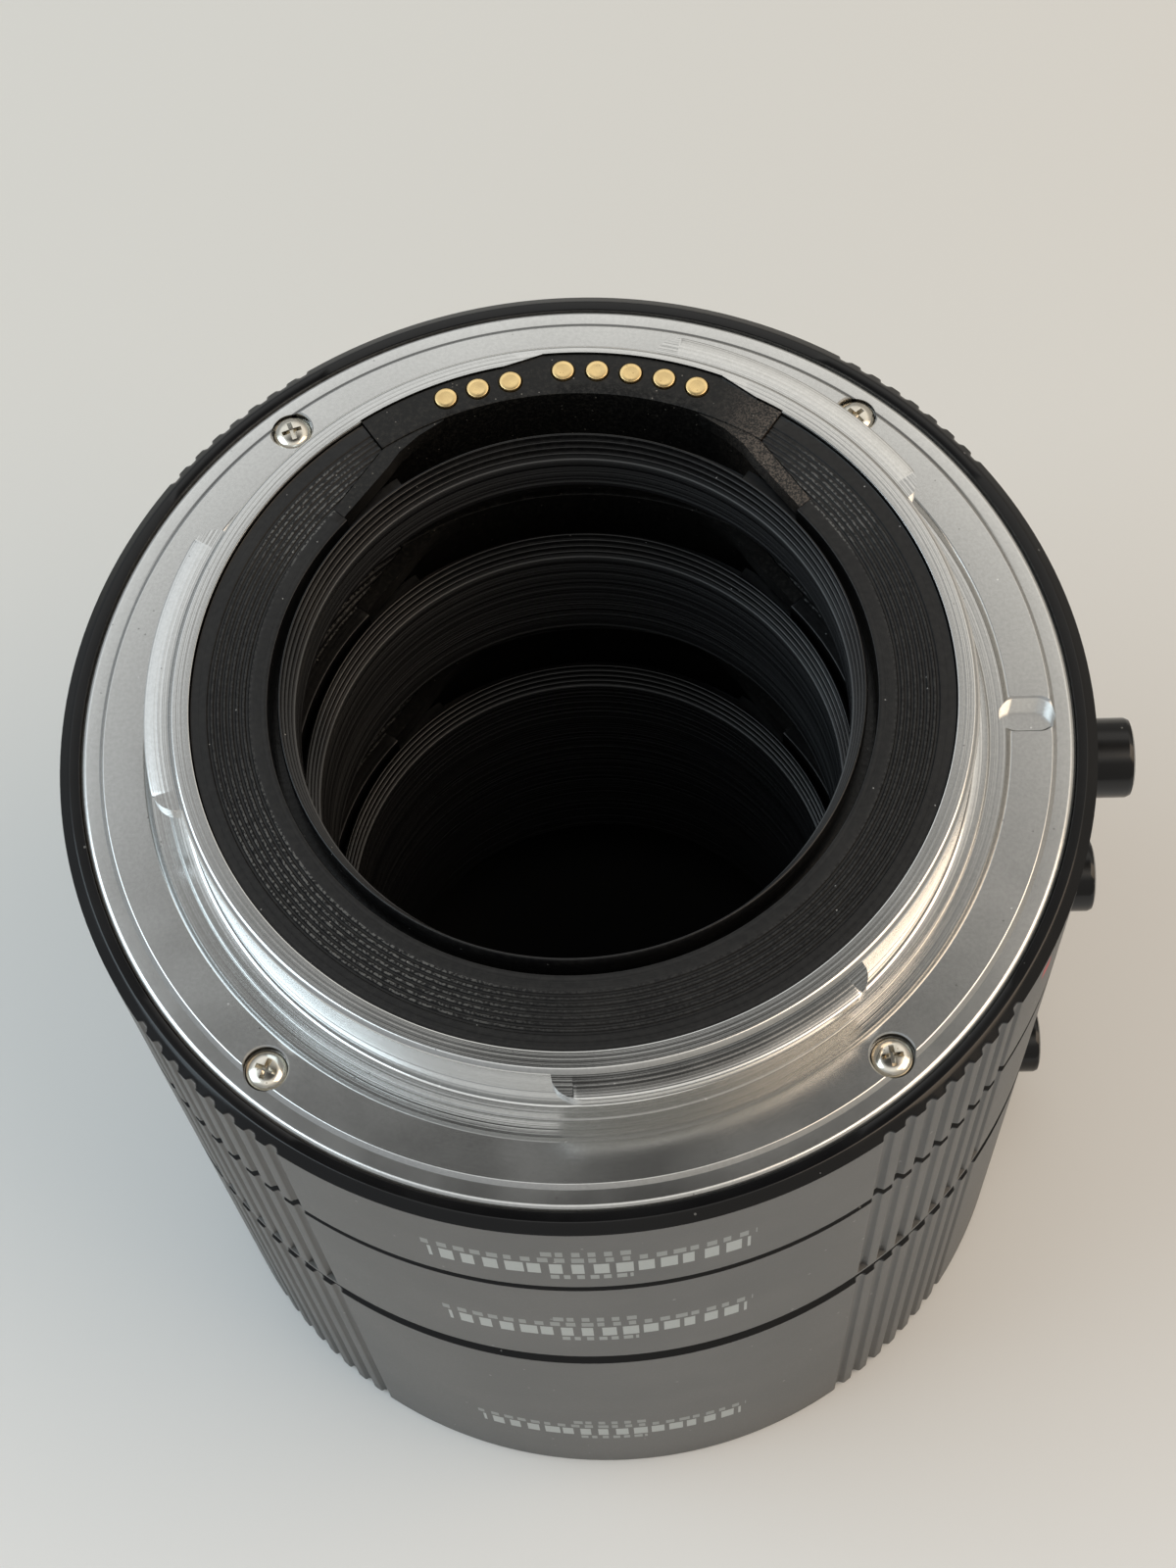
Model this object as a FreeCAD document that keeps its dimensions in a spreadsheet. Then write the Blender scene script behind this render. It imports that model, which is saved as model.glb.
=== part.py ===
import FreeCAD, Part
import Sketcher
import math
import os

# Macro extension tube set: three tubes of 13, 20 and 36 mm, locked in one stack.
# Every tube is a barrel with a male bayonet ring at the rear and a female one in front.
# Z runs along the optical axis and zero is the front face that the stack stands on.
# X points to the release buttons and Y to the electrical contacts.

doc = FreeCAD.newDocument("extension_tube_set")
sheet = doc.addObject("Spreadsheet::Sheet", "Sizes")


class Size:
    """A number together with the spreadsheet expression that it comes from."""

    def __init__(self, value, text):
        self.value = value
        self.text = text

    def __add__(self, other):
        other = as_size(other)
        return Size(self.value + other.value, f"({self.text} + {other.text})")

    def __radd__(self, other):
        return as_size(other) + self

    def __sub__(self, other):
        other = as_size(other)
        return Size(self.value - other.value, f"({self.text} - {other.text})")

    def __rsub__(self, other):
        return as_size(other) - self

    def __mul__(self, other):
        other = as_size(other)
        return Size(self.value * other.value, f"({self.text} * {other.text})")

    def __rmul__(self, other):
        return as_size(other) * self

    def __truediv__(self, other):
        other = as_size(other)
        return Size(self.value / other.value, f"({self.text} / {other.text})")

    def __neg__(self):
        return 0 - self


def as_size(number):
    return number if isinstance(number, Size) else Size(number, f"{number:g}")


def cell(name, number):
    """Write one named size into the spreadsheet."""
    cell.row += 1
    sheet.set(f"A{cell.row}", name.replace("_", " "))
    sheet.set(f"B{cell.row}", f"{number:g}")
    sheet.setAlias(f"B{cell.row}", name)
    return Size(number, f"Sizes.{name}")


cell.row = 0

# Lengths of the tubes, flange to flange
length_short = cell("length_short", 13)
length_middle = cell("length_middle", 20)
length_long = cell("length_long", 36)

# The bayonet's throat is the driving size: rings and tubes are so much wider or narrower
throat_radius = cell("throat_radius", 27.1)
mount_width = cell("mount_width", 4.9)
flange_radius = throat_radius + mount_width

# Barrels
rim_width = cell("rim_width", 1.4)
barrel_radius = flange_radius + rim_width
barrel_wall = cell("barrel_wall", 2.4)
rim_drop = cell("rim_drop", 0.35)
rim_bevel_width = cell("rim_bevel_width", 0.7)
rim_bevel_height = cell("rim_bevel_height", 0.5)
front_bevel_short = cell("front_bevel_short", 0.2)
front_bevel_middle = cell("front_bevel_middle", 0.8)
front_bevel_long = cell("front_bevel_long", 0.3)
post_radius = cell("post_radius", 1.5)
grip_groove_radius = cell("grip_groove_radius", 0.6)
grip_groove_depth = cell("grip_groove_depth", 0.45)
grip_pitch_angle = cell("grip_pitch_angle", 2.85)
grip_angle = cell("grip_angle", 46)
grip_end_middle = cell("grip_end_middle", 1.5)
grip_count = 8

# Rear bayonet ring: flange, collar and lugs
flange_thickness = cell("flange_thickness", 2.2)
flange_step_width = cell("flange_step_width", 1.5)
flange_step_radius = flange_radius - flange_step_width
flange_step_drop = cell("flange_step_drop", 0.3)
flange_bevel = cell("flange_bevel", 0.25)
seat_margin = cell("seat_margin", 0.5)
seat_radius = throat_radius + seat_margin
seat_drop = cell("seat_drop", 0.25)
collar_step = cell("collar_step", 1.7)
collar_radius = throat_radius - collar_step
collar_wall = cell("collar_wall", 1.4)
collar_bore = collar_radius - collar_wall
collar_height = cell("collar_height", 5.5)
collar_bevel = cell("collar_bevel", 0.2)
lug_play = cell("lug_play", 0.2)
lug_radius = throat_radius - lug_play
lug_thickness = cell("lug_thickness", 1.2)
lug_drop = cell("lug_drop", 0.3)
lug_span = cell("lug_span", 46)
lug_corner = cell("lug_corner", 0.9)
lug_first = cell("lug_first", 54)
lug_second = cell("lug_second", 174.7)
lug_third = cell("lug_third", 289.7)
lugs = {"first": lug_first, "second": lug_second, "third": lug_third}
slot_offset = cell("slot_offset", 1.8)
slot_radius = throat_radius + slot_offset
slot_width = cell("slot_width", 2.3)
slot_length = cell("slot_length", 3.6)
slot_depth = cell("slot_depth", 1.2)

# Front bayonet ring: plate, tabs and leaf spring
front_ring_margin = cell("front_ring_margin", 0.4)
front_ring_radius = flange_radius - front_ring_margin
front_ring_thickness = cell("front_ring_thickness", 3)
front_ring_bevel = cell("front_ring_bevel", 0.3)
tab_play = cell("tab_play", 0.2)
tab_bore = collar_radius + tab_play
tab_thickness = cell("tab_thickness", 1.4)
tab_span = cell("tab_span", 60)
leaf_thickness = cell("leaf_thickness", 0.25)
leaf_width = cell("leaf_width", 0.75)
leaf_rise = cell("leaf_rise", 0.65)
leaf_span = cell("leaf_span", 52)
leaf_gap_angle = cell("leaf_gap_angle", 28)

# Mount screws, four at each end of a tube
screw_offset = cell("screw_offset", 2.6)
screw_circle = throat_radius + screw_offset
screw_angle = cell("screw_angle", 50)
screw_head_radius = cell("screw_head_radius", 1.35)
screw_head_height = cell("screw_head_height", 0.75)
screw_shank_radius = cell("screw_shank_radius", 0.75)
screw_grip = cell("screw_grip", 3.2)
screw_sink = cell("screw_sink", 0.9)

# Inner light baffle and sleeve
baffle_wall = cell("baffle_wall", 1)
baffle_drop = cell("baffle_drop", 0.3)
baffle_width = cell("baffle_width", 4.9)
baffle_bore = collar_bore - baffle_width
baffle_lip_depth = cell("baffle_lip_depth", 2.6)
baffle_foot_width = cell("baffle_foot_width", 2.4)
baffle_foot_radius = collar_bore + baffle_foot_width
baffle_foot_height = cell("baffle_foot_height", 0.8)
sleeve_gap = cell("sleeve_gap", 0.65)
sleeve_radius = baffle_bore - sleeve_gap
sleeve_wall = cell("sleeve_wall", 0.9)
sleeve_proud = cell("sleeve_proud", 0.2)
sleeve_lip_width = cell("sleeve_lip_width", 1.5)
sleeve_lip_depth = cell("sleeve_lip_depth", 2.4)
sleeve_lip_flat = cell("sleeve_lip_flat", 0.4)
sleeve_lip_bevel = cell("sleeve_lip_bevel", 0.15)
sleeve_shoulder_height = cell("sleeve_shoulder_height", 0.8)
sleeve_foot = cell("sleeve_foot", 13.5)
rib_height = cell("rib_height", 0.15)
rib_count = 4

# Contact blocks, pads and pins
contact_angle = cell("contact_angle", 89.5)
contact_span = cell("contact_span", 65.8)
contact_width = cell("contact_width", 2.5)
contact_bite = cell("contact_bite", 0.1)
contact_outer_radius = collar_bore + contact_bite
contact_inner_radius = contact_outer_radius - contact_width
contact_step = cell("contact_step", 0.55)
contact_step_radius = contact_outer_radius + contact_step
contact_step_angle = cell("contact_step_angle", 80)
contact_step_span = cell("contact_step_span", 28)
contact_slope_span = cell("contact_slope_span", 6.5)
arm_reach = cell("arm_reach", 17)
arm_start = cell("arm_start", 2.2)
arm_root = cell("arm_root", 4.2)
arm_width = cell("arm_width", 1.1)
arm_end_width = cell("arm_end_width", 0.85)
arm_depth = cell("arm_depth", 1.5)
contact_drop = cell("contact_drop", 0.15)
contact_foot_depth = cell("contact_foot_depth", 1)
pad_radius = cell("pad_radius", 0.73)
pad_depth = cell("pad_depth", 0.8)
pad_pitch_angle = cell("pad_pitch_angle", 5.5)
five_pads_angle = cell("five_pads_angle", 80)
five_pads_inset = cell("five_pads_inset", 1.3)
five_pads_radius = contact_step_radius - five_pads_inset
three_pads_angle = cell("three_pads_angle", 105.25)
three_pads_inset = cell("three_pads_inset", 1.15)
three_pads_radius = contact_outer_radius - three_pads_inset
front_block_gap = cell("front_block_gap", 0.7)
front_block_height = cell("front_block_height", 3)
front_block_floor = cell("front_block_floor", 0.6)
front_block_foot_offset = cell("front_block_foot_offset", 1.4)
front_block_foot = throat_radius + front_block_foot_offset
pin_shank_radius = cell("pin_shank_radius", 0.55)
pin_shoulder_radius = cell("pin_shoulder_radius", 0.85)
pin_shoulder_height = cell("pin_shoulder_height", 0.7)
pin_press = cell("pin_press", 0.5)
pin_travel = cell("pin_travel", 0.6)
strip_offset = cell("strip_offset", 0.6)
strip_radius = contact_inner_radius + strip_offset
strip_thickness = cell("strip_thickness", 0.15)
strip_span = cell("strip_span", 30)

# Release button and lock pin
button_radius = cell("button_radius", 2.65)
button_height = cell("button_height", 6)
button_proud = cell("button_proud", 3)
button_fillet = cell("button_fillet", 0.5)
button_travel = cell("button_travel", 1)
button_flange_width = cell("button_flange_width", 0.27)
button_flange_radius = button_radius + button_flange_width
button_flange_thickness = cell("button_flange_thickness", 0.4)
button_wall = cell("button_wall", 1.3)
button_stem_radius = cell("button_stem_radius", 1)
button_tip_radius = cell("button_tip_radius", 0.15)
lock_pin_radius = cell("lock_pin_radius", 1)
lock_pin_reach = cell("lock_pin_reach", 0.85)
lock_pin_top = cell("lock_pin_top", 7.6)
lock_pin_bevel = cell("lock_pin_bevel", 0.25)
ramp_gap = cell("ramp_gap", 0.2)
housing_margin = cell("housing_margin", 0.15)
housing_inner = throat_radius + housing_margin
housing_wall = cell("housing_wall", 0.5)
housing_outer = slot_radius + lock_pin_radius + housing_wall
housing_width = cell("housing_width", 4.8)
housing_top = cell("housing_top", 10.4)
housing_roof = cell("housing_roof", 0.5)
housing_corner = cell("housing_corner", 0.5)
peg_radius = cell("peg_radius", 0.5)
peg_depth = cell("peg_depth", 1.2)
peg_offset = cell("peg_offset", 1.75)
spring_radius = cell("spring_radius", 0.72)
spring_wire = cell("spring_wire", 0.13)
spring_turns = cell("spring_turns", 3)

# Clearances
fit = cell("fit", 0.05)
running_gap = cell("running_gap", 0.07)
face_gap = cell("face_gap", 0.1)

doc.recompute()


# Sketch and feature helpers

def new_body(label, base, group=False):
    """A body whose own zero lies at the given height; a group holds separate solids."""
    body = doc.addObject("PartDesign::Body", label)
    body.Label = label
    body.AllowCompound = group
    body.setExpression("Placement.Base.z", base.text)
    return body


def new_sketch(body, name, plane):
    sketch = body.newObject("Sketcher::SketchObject", f"{body.Name}_{name}")
    origin_plane = [item for item in body.Origin.OriginFeatures if item.Role == plane][0]
    sketch.AttachmentSupport = [(origin_plane, "")]
    sketch.MapMode = "FlatFace"
    return sketch


def fix(sketch, kind, item, point, size):
    """Bind one coordinate of a sketch point, measured from the origin, to a size."""
    size = as_size(size)
    number = sketch.addConstraint(Sketcher.Constraint(kind, -1, 1, item, point, size.value))
    sketch.setExpression(f"Constraints[{number}]", size.text)


def add_outline(sketch, corners):
    """A closed outline with straight sides through (across, up) corners."""
    corners = [(as_size(across), as_size(up)) for across, up in corners]
    first = sketch.GeometryCount
    count = len(corners)
    for index in range(count):
        start = corners[index]
        end = corners[(index + 1) % count]
        start = FreeCAD.Vector(start[0].value, start[1].value, 0)
        end = FreeCAD.Vector(end[0].value, end[1].value, 0)
        sketch.addGeometry(Part.LineSegment(start, end), False)
    for index in range(count):
        following = first + (index + 1) % count
        sketch.addConstraint(Sketcher.Constraint("Coincident", first + index, 2, following, 1))
    for index, (across, up) in enumerate(corners):
        fix(sketch, "DistanceX", first + index, 1, across)
        fix(sketch, "DistanceY", first + index, 1, up)


def add_circle(sketch, across, up, radius):
    across, up, radius = as_size(across), as_size(up), as_size(radius)
    centre = FreeCAD.Vector(across.value, up.value, 0)
    circle = Part.Circle(centre, FreeCAD.Vector(0, 0, 1), radius.value)
    item = sketch.addGeometry(circle, False)
    number = sketch.addConstraint(Sketcher.Constraint("Radius", item, radius.value))
    sketch.setExpression(f"Constraints[{number}]", radius.text)
    fix(sketch, "DistanceX", item, 3, across)
    fix(sketch, "DistanceY", item, 3, up)


def add_slot(sketch, across, length, width):
    """A slot with round ends that lies along the sketch's horizontal axis."""
    half = width / 2
    straight = length / 2 - half
    near, far = across - straight, across + straight
    up = FreeCAD.Vector(0, 0, 1)
    items = []
    for centre, start in ((near, 90), (far, 270)):
        circle = Part.Circle(FreeCAD.Vector(centre.value, 0, 0), up, half.value)
        arc = Part.ArcOfCircle(circle, math.radians(start), math.radians(start + 180))
        items.append(sketch.addGeometry(arc, False))
    left, right = items
    for side, begin, end in ((-half, near, far), (half, far, near)):
        start = FreeCAD.Vector(begin.value, side.value, 0)
        finish = FreeCAD.Vector(end.value, side.value, 0)
        items.append(sketch.addGeometry(Part.LineSegment(start, finish), False))
    lower, upper = items[2:]
    for first, first_end, second, second_end in (
            (left, 2, lower, 1), (lower, 2, right, 1), (right, 2, upper, 1), (upper, 2, left, 1)):
        sketch.addConstraint(Sketcher.Constraint("Tangent", first, first_end, second, second_end))
    fix(sketch, "DistanceX", left, 3, near)
    fix(sketch, "DistanceX", right, 3, far)
    fix(sketch, "DistanceY", left, 3, 0)
    number = sketch.addConstraint(Sketcher.Constraint("Radius", left, half.value))
    sketch.setExpression(f"Constraints[{number}]", half.text)
    sketch.addConstraint(Sketcher.Constraint("Horizontal", lower))


def turned(body, name, corners, span=None, angle=None, kind="Revolution"):
    """Turn a profile of (radius, height) corners: a full ring, or a span about an angle."""
    sketch = new_sketch(body, name, "XZ_Plane")
    if angle is not None:
        angle = as_size(angle)
        turn = FreeCAD.Rotation(FreeCAD.Vector(0, 1, 0), angle.value)
        sketch.AttachmentOffset = FreeCAD.Placement(FreeCAD.Vector(), turn)
        sketch.setExpression("AttachmentOffset.Rotation.Angle", angle.text)
    add_outline(sketch, corners)
    feature = body.newObject(f"PartDesign::{kind}", f"{body.Name}_{name}_turned")
    feature.Profile = sketch
    feature.ReferenceAxis = (sketch, ["V_Axis"])
    if span is None:
        feature.Angle = 360
    else:
        feature.Angle = as_size(span).value
        feature.setExpression("Angle", as_size(span).text)
        feature.Midplane = True
    sketch.Visibility = False
    return feature


def plan_sketch(body, name, height):
    """A sketch parallel to the mount faces at the given height."""
    height = as_size(height)
    sketch = new_sketch(body, name, "XY_Plane")
    offset = FreeCAD.Vector(0, 0, height.value)
    sketch.AttachmentOffset = FreeCAD.Placement(offset, FreeCAD.Rotation())
    sketch.setExpression("AttachmentOffset.Base.z", height.text)
    return sketch


def raised(body, sketch, length):
    """Pad upwards from a sketch."""
    feature = body.newObject("PartDesign::Pad", f"{sketch.Name}_pad")
    feature.Profile = sketch
    feature.Length = as_size(length).value
    feature.setExpression("Length", as_size(length).text)
    sketch.Visibility = False
    return feature


def sunk(body, sketch, depth, upwards=False):
    """Pocket down from a sketch, or up from it."""
    feature = body.newObject("PartDesign::Pocket", f"{sketch.Name}_pocket")
    feature.Profile = sketch
    feature.Length = as_size(depth).value
    feature.setExpression("Length", as_size(depth).text)
    feature.Reversed = upwards
    sketch.Visibility = False
    return feature


def polar(radius, angle):
    """Plan position of a point at a radius and an angle in degrees."""
    radius, angle = as_size(radius), as_size(angle)
    turn = math.radians(angle.value)
    across = Size(radius.value * math.cos(turn), f"{radius.text} * cos({angle.text} * 1 deg)")
    up = Size(radius.value * math.sin(turn), f"{radius.text} * sin({angle.text} * 1 deg)")
    return across, up


def round_edges(body, name, radius, wanted):
    """Fillet the edges of a body's last feature that a test picks out."""
    doc.recompute()
    base = body.Tip
    edges = [f"Edge{number + 1}" for number, edge in enumerate(base.Shape.Edges) if wanted(edge)]
    feature = body.newObject("PartDesign::Fillet", f"{body.Name}_{name}")
    feature.Base = (base, edges)
    feature.Radius = radius.value
    feature.setExpression("Radius", radius.text)
    return feature


def edge_radius(edge):
    """Distance of an edge's middle from the optical axis."""
    middle = edge.valueAt((edge.FirstParameter + edge.LastParameter) / 2)
    return math.hypot(middle.x, middle.y)


def is_upright(edge):
    ends = [vertex.Point for vertex in edge.Vertexes]
    return len(ends) == 2 and math.hypot(ends[0].x - ends[1].x, ends[0].y - ends[1].y) < 0.001


def screw_places():
    """Plan positions of the four screws of one mount ring."""
    angles = [screw_angle, 180 - screw_angle, 180 + screw_angle, 360 - screw_angle]
    return [polar(screw_circle, angle) for angle in angles]


def contact_places():
    """Plan positions of the eight contacts, five and then three."""
    five = [polar(five_pads_radius, five_pads_angle + step * pad_pitch_angle)
            for step in (-2, -1, 0, 1, 2)]
    three = [polar(three_pads_radius, three_pads_angle + step * pad_pitch_angle)
             for step in (-1, 0, 1)]
    return five + three


def block_slopes(body, name, height, margin):
    """Plan of the slopes that lead up to the block's wide part, grown by a margin."""
    slopes = plan_sketch(body, name, height)
    inner = contact_outer_radius - contact_step
    for side in (-1, 1):
        high_end = contact_step_angle + side * contact_step_span / 2
        low_end = high_end + side * contact_slope_span
        add_outline(slopes, [
            polar(inner, low_end), polar(contact_outer_radius + margin, low_end),
            polar(contact_step_radius + margin, high_end), polar(inner, high_end)])
    return slopes


def arm_corners(side, margin):
    """Outer corners of one arm of the contact block: root, bend and tip."""
    end = contact_angle + side * contact_span / 2
    root = polar(contact_inner_radius + arm_width + margin, end - side * arm_root)
    bend = polar(contact_inner_radius + margin, end + side * arm_start)
    tip = polar(baffle_bore + arm_width + margin, end + side * arm_reach)
    return root, bend, tip


# Pieces of one tube

def make_barrel(tube):
    """Outer shell with mount seats, screw posts, button hole and grip grooves."""
    length = tube["length"]
    body = new_body(f"barrel_{tube['name']}", tube["base"])
    inside = barrel_radius - barrel_wall
    rear_seat = flange_radius + fit
    front_seat = front_ring_radius + fit
    bevel = tube["front_bevel"]
    top = length - rim_drop
    ledge = length - flange_thickness
    turned(body, "shell", [
        (front_seat, 0), (barrel_radius - bevel, 0), (barrel_radius, bevel),
        (barrel_radius, top - rim_bevel_height), (barrel_radius - rim_bevel_width, top),
        (rear_seat, top), (rear_seat, ledge), (inside, ledge),
        (inside, front_ring_thickness), (front_seat, front_ring_thickness)])

    posts = plan_sketch(body, "posts", front_ring_thickness)
    for across, up in screw_places():
        add_circle(posts, across, up, post_radius)
    raised(body, posts, ledge - front_ring_thickness)
    rear_holes = plan_sketch(body, "rear_holes", ledge)
    front_holes = plan_sketch(body, "front_holes", front_ring_thickness)
    for across, up in screw_places():
        add_circle(rear_holes, across, up, screw_shank_radius)
        add_circle(front_holes, across, up, screw_shank_radius)
    rear_depth = screw_sink + screw_grip + running_gap - flange_thickness
    front_depth = screw_sink + screw_grip + running_gap - front_ring_thickness
    sunk(body, rear_holes, rear_depth)
    sunk(body, front_holes, front_depth, upwards=True)

    button_hole = new_sketch(body, "button_hole", "YZ_Plane")
    add_circle(button_hole, 0, button_height, button_radius + running_gap)
    sunk(body, button_hole, barrel_radius + 1, upwards=True)
    flange_pocket = new_sketch(body, "button_pocket", "YZ_Plane")
    add_circle(flange_pocket, 0, button_height, button_flange_radius + running_gap)
    sunk(body, flange_pocket, barrel_radius - button_wall, upwards=True)

    centre_radius = barrel_radius + grip_groove_radius - grip_groove_depth
    grip_start = tube["grip_end"]
    grooves = plan_sketch(body, "grip_grooves", grip_start)
    middles = (grip_angle, 180 - grip_angle, 180 + grip_angle, 360 - grip_angle)
    for middle in middles:
        for number in range(grip_count):
            angle = middle + (number - (grip_count - 1) / 2) * grip_pitch_angle
            across, up = polar(centre_radius, angle)
            add_circle(grooves, across, up, grip_groove_radius)
    sunk(body, grooves, length - grip_start, upwards=True)
    return body


def make_rear_mount(tube):
    """Male bayonet ring: flange, collar, three lugs, screw seats and lock slot."""
    length = tube["length"]
    body = new_body(f"rear_mount_{tube['name']}", tube["base"])
    under = length - flange_thickness
    edge_top = length - flange_step_drop
    seat = length - seat_drop
    top = length + collar_height
    turned(body, "ring", [
        (collar_bore, under), (flange_radius, under),
        (flange_radius, edge_top - flange_bevel), (flange_radius - flange_bevel, edge_top),
        (flange_step_radius + flange_step_drop, edge_top), (flange_step_radius, length),
        (seat_radius, length), (seat_radius, seat), (collar_radius, seat),
        (collar_radius, top - collar_bevel), (collar_radius - collar_bevel, top),
        (collar_bore, top)])
    lug_top = top - lug_drop
    lug_root = (collar_bore + collar_radius) / 2
    for name, angle in lugs.items():
        turned(body, f"lug_{name}", [
            (lug_root, lug_top - lug_thickness), (lug_radius, lug_top - lug_thickness),
            (lug_radius, lug_top), (lug_root, lug_top)], lug_span, angle)
    round_edges(body, "lug_corners", lug_corner,
                lambda edge: is_upright(edge) and abs(edge_radius(edge) - lug_radius.value) < 0.01)

    heads = plan_sketch(body, "head_seats", length)
    shanks = plan_sketch(body, "shank_holes", length)
    for across, up in screw_places():
        add_circle(heads, across, up, screw_head_radius + fit)
        add_circle(shanks, across, up, screw_shank_radius + fit)
    sunk(body, heads, screw_sink)
    sunk(body, shanks, flange_thickness)

    slot = plan_sketch(body, "lock_slot", length)
    add_slot(slot, slot_radius, slot_length, slot_width)
    sunk(body, slot, slot_depth)

    recess_foot = length - contact_foot_depth
    turned(body, "block_recess", [
        (collar_bore - 1, recess_foot), (contact_outer_radius + fit, recess_foot),
        (contact_outer_radius + fit, top + 1), (collar_bore - 1, top + 1)],
        contact_span + 4 * fit, contact_angle, "Groove")
    turned(body, "wide_recess", [
        (collar_bore - 1, recess_foot), (contact_step_radius + fit, recess_foot),
        (contact_step_radius + fit, top + 1), (collar_bore - 1, top + 1)],
        contact_step_span + fit, contact_step_angle, "Groove")
    slopes = block_slopes(body, "slope_recess", recess_foot, fit)
    sunk(body, slopes, collar_height + contact_foot_depth + 1, upwards=True)
    return body


def make_screws(label, base, face, rearwards):
    """Four screws sunk into a mount ring, as separate solids."""
    body = new_body(label, base, group=True)
    if rearwards:
        head_base = face - screw_sink
        shank_base = head_base - screw_grip
    else:
        head_base = face + screw_sink - screw_head_height
        shank_base = face + screw_sink
    heads = plan_sketch(body, "heads", head_base)
    shanks = plan_sketch(body, "shanks", shank_base)
    for across, up in screw_places():
        add_circle(heads, across, up, screw_head_radius)
        add_circle(shanks, across, up, screw_shank_radius)
    raised(body, heads, screw_head_height)
    raised(body, shanks, screw_grip)
    return body


def make_light_baffle(tube):
    """Black moulded ring inside the collar, open where the contact block sits."""
    length = tube["length"]
    body = new_body(f"light_baffle_{tube['name']}", tube["base"])
    outside = collar_bore - fit
    inside = outside - baffle_wall
    top = length + collar_height - baffle_drop
    lip = baffle_bore + baffle_wall
    under = length - flange_thickness
    foot = under - baffle_foot_height
    turned(body, "ring", [
        (inside, foot), (baffle_foot_radius, foot), (baffle_foot_radius, under),
        (outside, under), (outside, top), (baffle_bore, top),
        (baffle_bore, top - baffle_lip_depth), (lip, top - baffle_lip_depth),
        (lip, top - baffle_wall), (inside, top - baffle_wall)])
    turned(body, "block_notch", [
        (sleeve_radius, length - contact_foot_depth), (collar_bore + 1, length - contact_foot_depth),
        (collar_bore + 1, top + 1), (sleeve_radius, top + 1)],
        contact_span + 2 * fit, contact_angle, "Groove")
    # Towards the block the bore widens to take the block's two straight arms.
    arms = plan_sketch(body, "arm_cuts", top)
    for side in (-1, 1):
        end = contact_angle + side * contact_span / 2
        root, bend, tip = arm_corners(side, fit)
        add_outline(arms, [
            root, bend, tip, polar(sleeve_radius, end + side * arm_reach),
            polar(sleeve_radius, end - side * arm_root)])
    sunk(body, arms, arm_depth + fit)
    return body


def make_inner_sleeve(tube):
    """Sleeve around the light path with a ribbed lip, hung from the baffle by its shoulder."""
    length = tube["length"]
    body = new_body(f"inner_sleeve_{tube['name']}", tube["base"])
    top = length + collar_height + sleeve_proud
    shoulder_top = length + collar_height - baffle_drop - baffle_lip_depth
    shoulder_foot = shoulder_top - sleeve_shoulder_height
    shoulder_radius = baffle_bore + baffle_wall
    throat = sleeve_radius - sleeve_lip_width
    inside = sleeve_radius - sleeve_wall
    lip_edge = sleeve_radius - sleeve_lip_flat
    corners = [
        (inside, sleeve_foot), (sleeve_radius, sleeve_foot), (sleeve_radius, shoulder_foot),
        (shoulder_radius, shoulder_foot), (shoulder_radius, shoulder_top),
        (sleeve_radius, shoulder_top), (sleeve_radius, top - sleeve_lip_bevel),
        (sleeve_radius - sleeve_lip_bevel, top), (lip_edge, top - sleeve_lip_bevel)]
    # The lip's inner side slopes down to the throat in rounded steps.
    step_in = (lip_edge - throat) / rib_count
    step_down = (sleeve_lip_depth - sleeve_lip_bevel) / rib_count
    for number in range(rib_count):
        crest = number + 0.5
        corners.append((
            lip_edge - crest * step_in - rib_height, top - sleeve_lip_bevel - crest * step_down))
        valley = number + 1
        corners.append((lip_edge - valley * step_in, top - sleeve_lip_bevel - valley * step_down))
    corners.append((inside, top - sleeve_lip_depth - sleeve_lip_bevel))
    turned(body, "wall", corners)
    return body


def make_rear_contact_block(tube):
    """Contact carrier in the notch of the collar, wider at five pads, with two arms."""
    length = tube["length"]
    body = new_body(f"rear_contact_block_{tube['name']}", tube["base"])
    foot = length - contact_foot_depth
    top = length + collar_height - contact_drop
    turned(body, "carrier", [
        (contact_inner_radius, foot), (contact_outer_radius, foot),
        (contact_outer_radius, top), (contact_inner_radius, top)], contact_span, contact_angle)
    turned(body, "wide_part", [
        (contact_inner_radius + 1, foot), (contact_step_radius, foot),
        (contact_step_radius, top), (contact_inner_radius + 1, top)],
        contact_step_span, contact_step_angle)
    raised(body, block_slopes(body, "slopes", foot, as_size(0)), top - foot)
    arms = plan_sketch(body, "arms", top - arm_depth)
    for side in (-1, 1):
        end = contact_angle + side * contact_span / 2
        root, bend, tip = arm_corners(side, as_size(0))
        add_outline(arms, [
            root, bend, tip, polar(baffle_bore + arm_width - arm_end_width, end + side * arm_reach),
            polar(contact_inner_radius - arm_width, end + side * arm_start),
            polar(contact_inner_radius, end - side * arm_root)])
    raised(body, arms, arm_depth)
    seats = plan_sketch(body, "pad_seats", top)
    for across, up in contact_places():
        add_circle(seats, across, up, pad_radius)
    sunk(body, seats, pad_depth)
    return body


def make_rear_contacts(tube):
    """Eight contact pads standing a little proud of their block."""
    body = new_body(f"rear_contacts_{tube['name']}", tube["base"], group=True)
    top = tube["length"] + collar_height
    pads = plan_sketch(body, "pads", top - contact_drop - pad_depth)
    for across, up in contact_places():
        add_circle(pads, across, up, pad_radius)
    raised(body, pads, pad_depth + contact_drop)
    return body


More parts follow.
